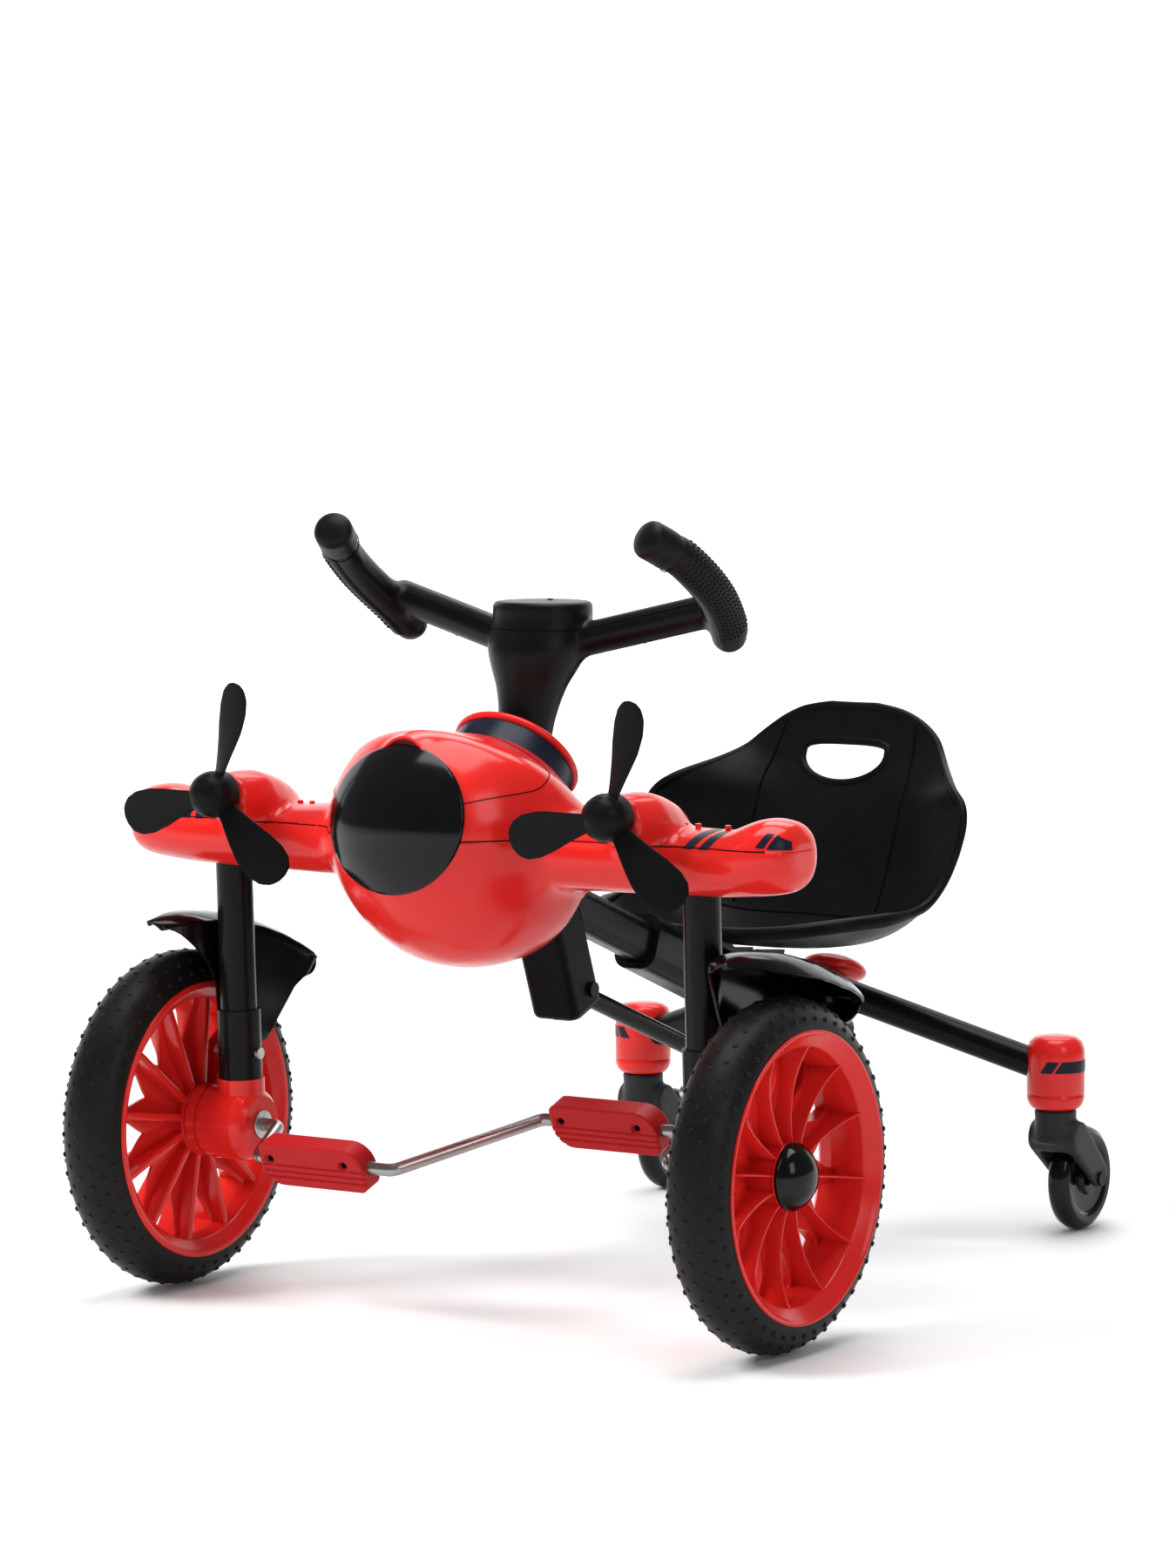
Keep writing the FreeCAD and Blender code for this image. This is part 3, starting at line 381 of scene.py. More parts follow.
# ---- materials
def feed(tree, node, inputs):
    """Sets each input of a node to a value, or links it where a socket is given."""
    for name, value in inputs.items():
        if isinstance(value, bpy.types.NodeSocket):
            tree.links.new(value, node.inputs[name])
        else:
            node.inputs[name].default_value = value


def from_node(tree, kind, output, inputs):
    """An output of a new shader node whose inputs are fed."""
    node = tree.nodes.new("ShaderNode" + kind)
    feed(tree, node, inputs)
    return node.outputs[output]


def object_coords(tree):
    return from_node(tree, "TexCoord", "Object", {})


def noise(tree, scale, detail=3.0, stretch=None):
    coords = object_coords(tree)
    if stretch:
        coords = from_node(tree, "Mapping", "Vector", {"Vector": coords, "Scale": stretch})
    return from_node(tree, "TexNoise", "Fac",
                     {"Vector": coords, "Scale": scale, "Detail": detail, "Roughness": 0.55})


def ramp(tree, value, low, high, out_low=0.0, out_high=1.0):
    return from_node(tree, "MapRange", "Result", {"Value": value, "From Min": low, "From Max": high,
                                                  "To Min": out_low, "To Max": out_high})


def blend_color(tree, factor, first, second):
    node = tree.nodes.new("ShaderNodeMix")
    node.data_type = "RGBA"
    feed(tree, node, {0: factor, 6: (*first, 1.0), 7: (*second, 1.0)})
    return node.outputs[2]


def bump(tree, height, strength, distance, **below):
    """Normal raised by height; below may give the Normal that it builds on."""
    inputs = {"Height": height, "Strength": strength, "Distance": distance, **below}
    return from_node(tree, "Bump", "Normal", inputs)


def surface(name, color, other, drift, rough, specular=0.5, metallic=0.0):
    """Material whose colour and gloss drift slowly over it; returns it with its tree and shader."""
    material = bpy.data.materials.new(name)
    material.use_nodes = True
    tree = material.node_tree
    bsdf = tree.nodes["Principled BSDF"]
    # plain colour for a tool that doesn't follow the link
    bsdf.inputs["Base Color"].default_value = (*color, 1.0)
    slow = noise(tree, drift, 4.0)
    feed(tree, bsdf, {"Base Color": blend_color(tree, ramp(tree, slow, 0.35, 0.65), color, other),
                      "Roughness": ramp(tree, slow, 0.3, 0.7, *rough),
                      "Specular IOR Level": specular, "Metallic": metallic})
    return material, tree, bsdf


def fine(name, color, other, drift, rough, grain, specular=0.5, metallic=0.0, stretch=None):
    """Surface with one noise bump; grain is its scale, detail, strength and distance in metres."""
    material, tree, bsdf = surface(name, color, other, drift, rough, specular, metallic)
    scale, detail, strength, distance = grain
    height = noise(tree, scale, detail, stretch)
    feed(tree, bsdf, {"Normal": bump(tree, height, strength, distance)})
    return material


def grained(name, color, other, rough, scale, strength, specular=0.13):
    """Moulded plastic with a fine leather-like grain."""
    material, tree, bsdf = surface(name, color, other, 14.0, rough, specular)
    pebbles = from_node(tree, "TexVoronoi", "Distance", {"Vector": object_coords(tree), "Scale": scale})
    coarse = bump(tree, pebbles, strength, 0.0004)
    feed(tree, bsdf, {"Normal": bump(tree, noise(tree, scale * 1.8), strength * 0.6, 0.0003, Normal=coarse)})
    return material


def floor_paper():
    material, tree, bsdf = surface("floor_paper", (0.80, 0.80, 0.80), (0.79, 0.79, 0.79), 2.0, (0.65, 0.75))
    distance = tree.nodes.new("ShaderNodeVectorMath")
    distance.operation = "LENGTH"
    feed(tree, distance, {0: object_coords(tree)})
    glow = ramp(tree, distance.outputs["Value"], GLOW_START, GLOW_FULL, 0.0, GLOW)
    feed(tree, bsdf, {"Emission Color": (1.0, 1.0, 1.0, 1.0), "Emission Strength": glow})
    return material


RED = fine("red_gloss", (0.66, 0.018, 0.014), (0.62, 0.016, 0.013), 9.0, (0.15, 0.24),
           (420.0, 2.0, 0.035, 0.0006), 0.28)
RED_SATIN = fine("red_satin", (0.42, 0.010, 0.012), (0.39, 0.009, 0.011), 14.0, (0.34, 0.44),
                 (1600.0, 2.0, 0.05, 0.0003), 0.15)
BLACK = fine("black_gloss", (0.002, 0.002, 0.0025), (0.003, 0.003, 0.0035), 12.0, (0.09, 0.17),
             (500.0, 2.0, 0.03, 0.0005), 0.24)
GRAINED = grained("black_grained", (0.0025, 0.0025, 0.003), (0.004, 0.004, 0.0045), (0.32, 0.42), 900.0,
                  0.28, 0.08)
BAR = grained("bar_plastic", (0.003, 0.003, 0.003), (0.0045, 0.0045, 0.0045), (0.3, 0.38), 1500.0, 0.14)
GRIP = grained("grip_rubber", (0.003, 0.003, 0.003), (0.0045, 0.0045, 0.0045), (0.36, 0.46), 1300.0, 0.2)
PAINT = fine("painted_steel", (0.003, 0.003, 0.0035), (0.0045, 0.0045, 0.005), 25.0, (0.22, 0.32),
             (700.0, 2.0, 0.08, 0.0004), 0.12)
STEEL = fine("bare_steel", (0.37, 0.36, 0.35), (0.33, 0.32, 0.31), 30.0, (0.24, 0.34),
             (700.0, 2.0, 0.012, 0.0002), metallic=1.0, stretch=(0.05, 1.0, 1.0))
PROP = grained("prop_plastic", (0.004, 0.004, 0.0045), (0.006, 0.006, 0.0065), (0.32, 0.42), 700.0,
               0.12, 0.07)
CASTER = grained("caster_plastic", (0.020, 0.0205, 0.0215), (0.024, 0.0245, 0.026), (0.36, 0.46), 800.0, 0.12)
ZINC = fine("zinc", (0.60, 0.60, 0.57), (0.45, 0.45, 0.44), 120.0, (0.25, 0.45),
            (1500.0, 2.0, 0.1, 0.0002), metallic=1.0)
TYRE = fine("foam_tyre", (0.005, 0.005, 0.005), (0.008, 0.008, 0.008), 35.0, (0.36, 0.5),
            (900.0, 4.0, 0.25, 0.0005), 0.14)
DECAL = fine("decal_film", (0.006, 0.008, 0.018), (0.008, 0.010, 0.022), 40.0, (0.25, 0.4),
             (600.0, 2.0, 0.05, 0.0003), 0.15)
SEAM = surface("seam_dark", (0.002, 0.002, 0.002), (0.005, 0.004, 0.004), 80.0, (0.7, 0.9), 0.02)[0]

SLOT_MATERIALS = {
    "red_gloss_plastic": RED,
    "red_satin_plastic": RED_SATIN,
    "black_gloss_plastic": BLACK,
    "black_grained_plastic": GRAINED,
    "soft_grip_rubber": GRIP,
    "black_painted_steel": PAINT,
    "bare_steel": STEEL,
    "zinc_plated_steel": ZINC,
    "foam_tyre": TYRE,
}
# nodes whose look is not their slot's usual one
SPECIAL_MATERIALS = {
    "cockpit_collar": DECAL,
    "brace_bolt": PAINT,
    "wing_rivets": RED,
    "axle_bushes": ZINC,
    "left_caster_axle": PAINT,
    "right_caster_axle": PAINT,
}


def dress_cad_nodes():
    """Gives every carried-over CAD node its slot's material, smooth faces and slightly broken edges."""
    slots = {entry["node"]: entry["material_slot"] for entry in frame["record"]["subparts"]}
    for name, node in frame["nodes"].items():
        node.data.materials.clear()
        node.data.materials.append(SPECIAL_MATERIALS.get(name, SLOT_MATERIALS[slots[name]]))
        node.data.shade_smooth()
        weld = node.modifiers.new("weld", "WELD")
        weld.merge_threshold = 0.01 * MM
        break_edges(node, 0.5, 35)
        normals = node.modifiers.new("normals", "WEIGHTED_NORMAL")
        normals.keep_sharp = True


# ---- aeroplane body
EGG_CENTRE = np.array((0.0, 0.0, 405.5))
EGG_SIZES = np.array((108.0, 130.0, 112.0))
EGG_TILT = math.radians(10.0)
NOSE_CUT = 106.0
NOSE_SLIM = 0.90
COLLAR_TOP = np.array((0.0, 72.8, 463.2))
COLLAR_AXIS = np.array((0.0, math.sqrt(0.5), math.sqrt(0.5)))
SEAM_Z = 409.0
WING_END = 326.5
PROP_X = 193.5
PROP_Z = 434.0
SPINNER_BACK_Y = -78.9
# along the wing: x, middle y, middle z, half chord, half thickness
WING = np.array(((0, -2, 397, 64, 36), (80, -3, 396, 56, 32), (110, -5, 395, 51, 30.5),
                 (150, -8, 394, 46, 28.5), (232, -9, 394, 42, 27), (262, -8, 394, 42, 26.5),
                 (292, -8, 401.5, 42, 31.5), (307, -8, 402, 38, 30.5), (319, -8, 402, 31, 27),
                 (340, -8, 402, 22, 20)))
COLLAR_DEPTH = 26.0
SCOOP_CENTRE = np.array((0.0, -78.0, 478.0))
SCOOP_SIZES = np.array((20.0, 34.0, 14.0))


def slimming(depth):
    """The egg loses some height towards the nose; depth runs forward from its middle."""
    return 1.0 - (1.0 - NOSE_SLIM) * np.clip((depth - 20.0) / 86.0, 0, 1) ** 1.5


def in_egg(points):
    """Points in the egg's own leaning frame, in units of its half sizes."""
    y, z = points[:, 1] - EGG_CENTRE[1], points[:, 2] - EGG_CENTRE[2]
    cos, sin = math.cos(EGG_TILT), math.sin(EGG_TILT)
    depth = z * sin - y * cos
    height = (y * sin + z * cos) / slimming(depth)
    return np.stack([points[:, 0], -depth, height], 1) / EGG_SIZES


def egg_field(points):
    return (np.linalg.norm(in_egg(points), axis=1) - 1) * EGG_SIZES[2]


def shoulder_field(points):
    """Cone that slims the egg towards the cockpit collar."""
    offset = points - (COLLAR_TOP - COLLAR_AXIS * COLLAR_DEPTH)
    along = offset @ COLLAR_AXIS
    away = np.linalg.norm(offset - along[:, None] * COLLAR_AXIS, axis=1)
    return (away - (58.0 - along * 1.255)) * 0.62


def wing_field(points):
    x = np.abs(points[:, 0])
    y, z, chord, thick = [soft_curve(x, WING[:, 0], WING[:, i], 16) for i in (1, 2, 3, 4)]
    dy, dz = np.abs(points[:, 1] - y) / chord, np.abs(points[:, 2] - z) / thick
    section = ((dy ** 2.3 + dz ** 2.3) ** (1 / 2.3) - 1) * thick
    return smooth_max(section, x - WING_END, 14.0)


def nacelle_field(points):
    x = np.abs(points[:, 0]) - PROP_X
    y = points[:, 1]
    radius = soft_curve(y, (-80, -60, -40, -20, 0, 16, 26), (19.5, 23, 24.5, 21.5, 16, 9, 2), 10)
    middle = 430.0 - (y + 77) * 0.08
    section = np.sqrt((x / 1.08) ** 2 + (points[:, 2] - middle) ** 2) - radius
    return smooth_max(smooth_max(section, -77.0 - y, 5.0), y - 24.0, 8.0)


def scoop_field(points):
    offset = (points - SCOOP_CENTRE) / SCOOP_SIZES
    return (np.linalg.norm(offset, axis=1) - 1) * SCOOP_SIZES[2]


def plane_field(points):
    fuselage = smooth_max(egg_field(points), shoulder_field(points), 10.0)
    fuselage = smooth_min(fuselage, scoop_field(points), 5.0)
    wings = smooth_min(wing_field(points), nacelle_field(points), 12.0)
    return smooth_min(fuselage, wings, 15.0)


def lean(vector):
    """A direction of the egg's frame in the design frame."""
    cos, sin = math.cos(EGG_TILT), math.sin(EGG_TILT)
    return Vector((vector[0], vector[1] * cos + vector[2] * sin, -vector[1] * sin + vector[2] * cos))


def nose_plane():
    forward = lean((0, -1, 0))
    return tuple(Vector(EGG_CENTRE) + forward * NOSE_CUT), tuple(forward)


def make_plane():
    """Upper and lower skins, open at nose, cockpit and tail, with a wall thickness."""
    skin = sculpt(plane_field, (-342, -124, 286), (342, 110, 520), 3.4)
    collar_foot = tuple(COLLAR_TOP - COLLAR_AXIS * COLLAR_DEPTH)
    skin = trimmed(skin, [nose_plane(), (collar_foot, tuple(COLLAR_AXIS))])
    upper = trimmed(skin, [((0, 0, SEAM_Z), (0, 0, -1))])
    lower = without_tail(trimmed(skin, [((0, 0, SEAM_Z), (0, 0, 1))]))
    for name, part, nodes in (("plane_upper", upper, ("plane_upper_shell", "hood_panel")),
                              ("plane_lower", lower, ("plane_lower_shell",))):
        piece = mesh_piece(name, *part, RED, "steering", "red_gloss_plastic", nodes, sharp=50)
        add_wall(piece, 2.6, -1)
    make_seams()


def without_tail(part):
    """The lower skin with the open tail cut away, bounded by an upright and a sloping plane."""
    front = trimmed(part, [((0, 30, 0), (0, 1, 0))])
    behind = trimmed(part, [((0, 30, 0), (0, -1, 0)), ((0, 30, 352), (0, 0.522, -0.853))])
    return joined_at_cut(front, behind)


def joined_at_cut(first, second):
    """Two parts made one, with the points on their common cut welded."""
    return reworked(merged([first, second]),
                    lambda tool: bmesh.ops.remove_doubles(tool, verts=tool.verts, dist=0.02))


def seam_piece(name, lines, body, slot, radius=0.45):
    """Thin dark line where two mouldings meet, sunk half way into the surface."""
    tubes = [tube(line, radius, sides=6) for line in lines]
    mesh_piece(name, *merged(tubes), SEAM, body, slot)


def make_seams():
    """The parting line round both wings and the edge of the hood panel."""
    lines = []
    for side in (1, -1):
        front = [(side * x, -62.0, SEAM_Z) for x in np.linspace(118, 322, 70)]
        rear = [(side * x, 50.0, SEAM_Z) for x in np.linspace(112, 322, 70)]
        root = [(side * (100 + 16 * t), -70 + 8 * t, SEAM_Z) for t in np.linspace(-3.2, 1, 30)]
        lines += [level_line(line) for line in (front, rear, root)]
    lines.append(hood_line())
    seam_piece("plane_seams", lines, "steering", "red_gloss_plastic")


def level_line(points):
    """Points pulled onto the skin at constant height."""
    line = np.array(points, float)
    for _ in range(12):
        slope = gradient(plane_field, line)
        slope[:, 2] = 0
        size = np.maximum((slope ** 2).sum(1), 1e-3)
        line = line - slope * np.clip(plane_field(line) / size, -6, 6)[:, None]
    return line


def hood_line():
    """Edge of the hood panel: back from the nose on each side and round towards the cockpit."""
    left = [(66, -104, 441), (72, -80, 441), (78, -50, 441), (80, -26, 443), (74, -6, 452), (62, 2, 466),
            (44, 4, 482), (24, 6, 490), (0, 6, 494)]
    right = [(-x, y, z) for x, y, z in left[:-1]][::-1]
    return settle(plane_field, smooth_line(left + right, 160), rounds=8)


def make_nose():
    """Glossy dome with a rounded foot that stands just proud of the red skin."""
    rows = []
    foot = NOSE_CUT - 1.5
    reach = EGG_SIZES[1] + 1.0
    for i in range(25):
        depth = foot + (reach - foot) * math.sin(i / 25 * math.pi / 2)
        ring = math.sqrt(max(0.0, 1 - (depth / reach) ** 2))
        rows.append(nose_ring(depth, ring * 1.012))
    inner = [nose_ring(foot, 0.50), nose_ring(foot - 2.0, 0.555), nose_ring(foot - 1.0, 0.583)]
    part = with_tip(inner + rows, tuple(Vector(EGG_CENTRE) + lean((0, -reach, 0))))
    mesh_piece("nose", *part, BLACK, "steering", "black_gloss_plastic", ("nose_dome",))


def nose_ring(depth, scale):
    centre = Vector(EGG_CENTRE)
    height = EGG_SIZES[2] * scale * NOSE_SLIM
    return [tuple(centre + lean((EGG_SIZES[0] * scale * math.cos(a), -depth, height * math.sin(a))))
            for a in around(96)]


def make_wing_marks():
    """Plain slanted bars near the middle of each wing and a bar and stripe at its tip."""
    marks = [((x + 6, 421), (x + 15, 421), (x + 9, 408), (x, 408)) for x in (237, 251)]
    marks.append(((309, 423), (314.5, 422.5), (310, 411.5), (303.5, 412)))
    marks.append(((316.5, 422), (324.8, 416.5), (325.9, 409.8), (312, 411)))
    for label, side in SIDES:
        mesh_piece(label + "_wing_marks", *merged([skin_patch(mark, side) for mark in marks]), DECAL,
                   "steering", "black_gloss_plastic")


def skin_patch(corners, side):
    """Thin film that follows the skin; its corners are given as seen from the front."""
    count = 13
    steps = [i / (count - 1) for i in range(count)]
    a, b, c, d = np.array(corners, float)
    spots = []
    for s in steps:
        for t in steps:
            x, z = (a * (1 - s) + b * s) * (1 - t) + (d * (1 - s) + c * s) * t
            spots.append((side * x, 0.0, z))
    points = front_skin(np.array(spots), 0.3)
    return grid([[tuple(p) for p in points[i:i + count]] for i in range(0, count * count, count)])


def front_skin(points, lift):
    """Each point moved along Y onto the front of the plane's skin, then a little forward."""
    low, high = points.copy(), points.copy()
    low[:, 1], high[:, 1] = -75.0, -8.0
    for _ in range(20):
        middle = (low + high) / 2
        inside = plane_field(middle) < 0
        high[inside], low[~inside] = middle[inside], middle[~inside]
    slope = gradient(plane_field, high)
    return high + slope / np.linalg.norm(slope, axis=1, keepdims=True) * lift


# ---- propellers
BLADE_ANGLES = (76.0, 196.0, 316.0)
BLADE_STOPS = (14, 24, 40, 58, 74, 86, 93, 95.5)
BLADE_WIDTHS = (16, 19, 27, 36, 39, 34, 22, 8)
BLADE_PITCH = (-36, -31, -26, -22, -20, -18, -17, -17)


def blade_part():
    rows = []
    for r in list(np.linspace(14, 88, 24)) + [90, 92, 93.5, 94.6, 95.3]:
        width = float(np.interp(r, BLADE_STOPS, BLADE_WIDTHS))
        pitch = math.radians(float(np.interp(r, BLADE_STOPS, BLADE_PITCH)))
        thick = float(np.interp(r, (14, 40, 95), (5.0, 3.4, 1.8)))
        sweep = 3.0 * math.sin(math.pi * (r - 14) / 82)
        row = []
        for a in around(28):
            across = width / 2 * math.copysign(abs(math.cos(a)) ** 0.8, math.cos(a)) + sweep
            through = thick / 2 * math.sin(a) * (1.35 if math.sin(a) > 0 else 0.65)
            row.append((across * math.cos(pitch) - through * math.sin(pitch),
                        across * math.sin(pitch) + through * math.cos(pitch), r))
        rows.append(row)
    vertices, faces = grid(rows, wrap_columns=True)
    return vertices, faces + end_caps(len(vertices), len(rows[0]))


def spinner_part():
    profile = [(0.0, 4.0), (0.0, 18.2), (1.2, 19.4), (14.0, 19.6), (16.0, 19.3), (22, 17.6), (27, 14.4),
               (31, 9.8), (33.2, 4.6), (33.8, 0.01)]
    part = lathe_x(rounded_profile(profile, 1.0, 2), (0, 0, 0), segments=64)
    return moved(part, Matrix.Rotation(math.radians(-90), 4, "Z"))


def make_propellers():
    parts = [shifted(spinner_part(), (0, SPINNER_BACK_Y, 0))]
    for angle in BLADE_ANGLES:
        blade = moved(blade_part(), Matrix.Rotation(math.radians(90 - angle), 4, "Y"))
        parts.append(shifted(blade, (0, SPINNER_BACK_Y - 10, 0)))
    for label, side in SIDES:
        mesh_piece(label + "_prop", *shifted(merged(parts), (side * PROP_X, 0, PROP_Z)), PROP,
                   label + "_propeller", "black_gloss_plastic", (label + "_propeller",), sharp=50)


# ---- handlebar
ARM_START = np.array((0.0, 107.6, 550.0))
ARM_END = np.array((160.0, 140.1, 588.9))
GRIP_LINE = ((160.5, 150, 566), (165.5, 133, 582), (170.5, 112, 598), (172, 90, 613), (169, 64, 630),
             (163, 46, 641), (157, 31, 649))
HEAD_Y = 113.0
HEAD_R = 41.9
ARM_R = 14.3
GRIP_CORE_R = 14.8
GRIP_FOOT_R = 14.4
GRIP_R = 17.0
GRIP_END_R = 16.6
# up the stem: z, middle y, radius
STEM = np.array(((462, 82, 22), (476, 85, 22.6), (490, 88, 23.6), (505, 92, 26), (520, 96, 30),
                 (535, 101, 37), (548, 105, 42), (556, 108, 43.6), (564, 111, 43), (572, HEAD_Y, 42),
                 (600, HEAD_Y, 42)))


def stem_field(points):
    z = points[:, 2]
    middle = soft_curve(z, STEM[:, 0], STEM[:, 1], 8)
    radius = soft_curve(z, STEM[:, 0], STEM[:, 2], 8)
    body = (np.hypot(points[:, 0], points[:, 1] - middle) - radius) * 0.94
    top = z - 591.0 - (1.5 - 0.0009 * (points[:, 0] ** 2 + (points[:, 1] - HEAD_Y) ** 2))
    return smooth_max(smooth_max(body, top, 5.0), 462.0 - z, 1.5)


def path_field(points, path, radius):
    """Distance to a round bar along the path."""
    return np.min([to_line(points, a, b)[1] for a, b in zip(path, path[1:])], axis=0) - radius


def handlebar_field(points):
    mirrored = np.column_stack([np.abs(points[:, 0]), points[:, 1:]])
    arm = path_field(mirrored, (ARM_START, ARM_END), ARM_R)
    grip = path_field(mirrored, smooth_line(GRIP_LINE, 16)[:-1], GRIP_CORE_R)
    bar = smooth_min(arm, grip, 7.0)
    return smooth_min(stem_field(points), bar, 7.0)


def make_handlebar():
    """Stem, head and arms as one smooth pair of mouldings with their parting line."""
    part = sculpt(handlebar_field, (-194, 12, 456), (194, 176, 674), 3.0)
    mesh_piece("handlebar", *part, BAR, "steering", "black_grained_plastic",
               ("stem_cover", "handlebar_cover"), sharp=60)
    ring = [(HEAD_R * math.cos(a), HEAD_Y + HEAD_R * math.sin(a), 568.0)
            for a in np.linspace(0, 2 * math.pi, 97)]
    lines = [settle(handlebar_field, np.array(ring, float), 4)]
    for side in (1, -1):
        for face in (-1, 1):
            line = []
            for t in np.linspace(0.26, 0.93, 60):
                p = ARM_START + (ARM_END - ARM_START) * t
                line.append((side * p[0], p[1] + face * 12.5, p[2] + 8.0))
            lines.append(settle(handlebar_field, np.array(line), 4))
    seam_piece("handlebar_seams", lines, "steering", "black_grained_plastic", radius=0.5)
    screws = [dome((8, 112, 592.2), (0, 0, 1), 3.2, 1.6), dome((24.5, 82, 480), (0.8, -0.55, 0.1), 3.6, 1.2)]
    for side in (1, -1):
        p = ARM_START + (ARM_END - ARM_START) * 0.58
        screws.append(dome((side * p[0], p[1] - 3, p[2] - 13.8), (0, -0.2, -1), 3.2, 1.0))
    mesh_piece("handlebar_screws", *merged(screws), PAINT, "steering", "zinc_plated_steel")


def grip_shell(path):
    """Soft outer half of the grip: a thick skin round the outboard side with rows of nubs."""
    first, second = frames_along(path)
    rows, nubs = [], []
    spread = math.radians(98)
    for i, (p, u, v) in enumerate(zip(path, first, second)):
        ends = min(i, len(path) - 1 - i) / 3.0
        swell = GRIP_R if ends >= 1 else GRIP_FOOT_R + 2.6 * math.sqrt(max(0.0, 1 - (1 - ends) ** 2))
        row = []
        for a in np.linspace(-spread, spread, 25):
            edge = min(1.0, (spread - abs(a)) / math.radians(12))
            r = GRIP_FOOT_R + (swell - GRIP_FOOT_R) * math.sqrt(max(0.0, 1 - (1 - edge) ** 2))
            row.append(tuple(p + r * (math.cos(a) * u + math.sin(a) * v)))
        rows.append(row[::-1])
        rows[-1] += arc(p, u, v, 12.0, (-spread, 0, spread))
    vertices, faces = grid(rows, wrap_columns=True)
    width = len(rows[0])
    faces += [tuple(range(width)), tuple(range(len(vertices) - width, len(vertices)))[::-1]]
    for i in range(5, len(path) - 5, 2):
        for j, a in enumerate(np.radians(np.arange(-66, 67, 12))):
            p = path[i] if j % 2 else (path[i] + path[i + 1]) / 2
            out = math.cos(a) * first[i] + math.sin(a) * second[i]
            nubs.append(dome(p + GRIP_R * out, out, 1.5, 1.1, rings=2, sides=6, sink=0.3))
    return merged([(vertices, faces)] + nubs)


def make_grips():
    path = smooth_line(GRIP_LINE, 62)
    pad = grip_shell(path[:-9])
    for label, _ in SIDES:
        side_piece(label, "_grip_pad", pad, GRIP, "steering", "soft_grip_rubber", "_grip")
    line = list(path[-12:])
    first, second = frames_along(np.array(line))
    ring = arc(line[0], first[0], second[0], 16.4, np.linspace(0, 2 * math.pi, 33))
    seam = tube(ring, 0.5, sides=6, caps=False)
    radii = [GRIP_END_R if i > 2 else 15.6 + 0.33 * i for i in range(12)]
    end = line[-1]
    tail = (end - line[-2]) / np.linalg.norm(end - line[-2])
    for t in (0.35, 0.6, 0.8, 0.93, 1.0):
        line.append(end + tail * 9.0 * t)
        radii.append(GRIP_END_R * math.sqrt(max(0.02, 1 - t ** 2)))
    cap = tube(line, radii, sides=40)
    mesh_piece("grip_ends", *merged([cap, flipped(cap)]), GRIP, "steering", "soft_grip_rubber",
               ("grip_caps",), sharp=60)
    mesh_piece("grip_seams", *merged([seam, flipped(seam)]), SEAM, "steering", "soft_grip_rubber")


# ---- front wheels
TREAD_R = 27.5
TREAD_CENTRE_R = 117.0
# how far the tread's middle rises over TREAD_CENTRE_R
TREAD_RISE = TREAD_R - 0.8
NUB_COUNT = 50
SPOKE_COUNT = 12
FIRST_SPOKE_DEGREES = 8.0


def tyre_part():
    profile = [(TREAD_R * math.sin(a), TREAD_CENTRE_R + TREAD_RISE * math.cos(a))
               for a in np.radians(np.linspace(-90, 90, 35))]
    centre = (WHEEL_X, 0.0, TYRE_R)
    parts = [lathe_x(profile, centre, segments=160)]
    for row, lean_angle in enumerate(range(-66, 67, 22)):
        a = math.radians(lean_angle)
        along, r = TREAD_R * math.sin(a), TREAD_CENTRE_R + TREAD_RISE * math.cos(a)
        for i in range(NUB_COUNT):
            turn = 2 * math.pi * (i + 0.5 * (row % 2)) / NUB_COUNT
            spot = (centre[0] + along, r * math.sin(turn), TYRE_R + r * math.cos(turn))
            out = (math.sin(a), math.cos(a) * math.sin(turn), math.cos(a) * math.cos(turn))
            lift = 0.9 if abs(lean_angle) < 30 else 1.7
            parts.append(dome(spot, out, 2.5, lift, rings=3, sides=8))
    return merged(parts)


def spoke_petal(turn):
    """Sheet round one rib: full width near the hub, narrow at the openings, flared at the barrel."""
    rows = []
    for r in np.linspace(25, 105, 24):
        half = float(np.interp(r, (25, 60, 66, 72, 80, 98, 105), (15.0, 15.0, 11.5, 8.2, 5.2, 3.4, 5.0)))
        row = []
        for s in np.linspace(-1, 1, 13):
            a = math.radians(turn + half * s)
            depth = -12.0 + 9.0 * math.sin(math.pi * min(1.0, (r - 25) / 92)) - 1.5 * (1 - s * s)
            row.append((WHEEL_X + depth, r * math.sin(a), TYRE_R + r * math.cos(a)))
        rows.append(row)
    outer = grid(rows)
    back = [[(x - 2.4, y, z) for x, y, z in row] for row in rows]
    inner = grid([row[::-1] for row in back])
    edges = [grid(pair) for pair in ((rows[0], back[0]), (rows[-1][::-1], back[-1][::-1]),
                                     ([row[-1] for row in rows], [row[-1] for row in back]),
                                     ([row[0] for row in rows][::-1], [row[0] for row in back][::-1]))]
    return merged([outer, inner] + edges)


def spoke_blade(turn, stations, half_thick):
    """Thin radial plate; stations are (radius, inboard x, outboard x) from the wheel's middle plane."""
    a = math.radians(turn)
    out = Vector((0, math.sin(a), math.cos(a)))
    side = Vector((0, math.cos(a), -math.sin(a)))
    centre = Vector((WHEEL_X, 0, TYRE_R))
    rows = []
    for r, low, high in stations:
        t = half_thick
        ring = ((low, -t), (low - 0.8, -t * 0.5), (low - 0.8, t * 0.5), (low, t),
                (high, t * 0.7), (high + 0.7, t * 0.3), (high + 0.7, -t * 0.3), (high, -t * 0.7))
        rows.append([tuple(centre + out * r + Vector((x, 0, 0)) + side * s) for x, s in ring])
    vertices, faces = grid(rows, wrap_columns=True)
    return vertices, faces + end_caps(len(vertices), len(rows[0]))


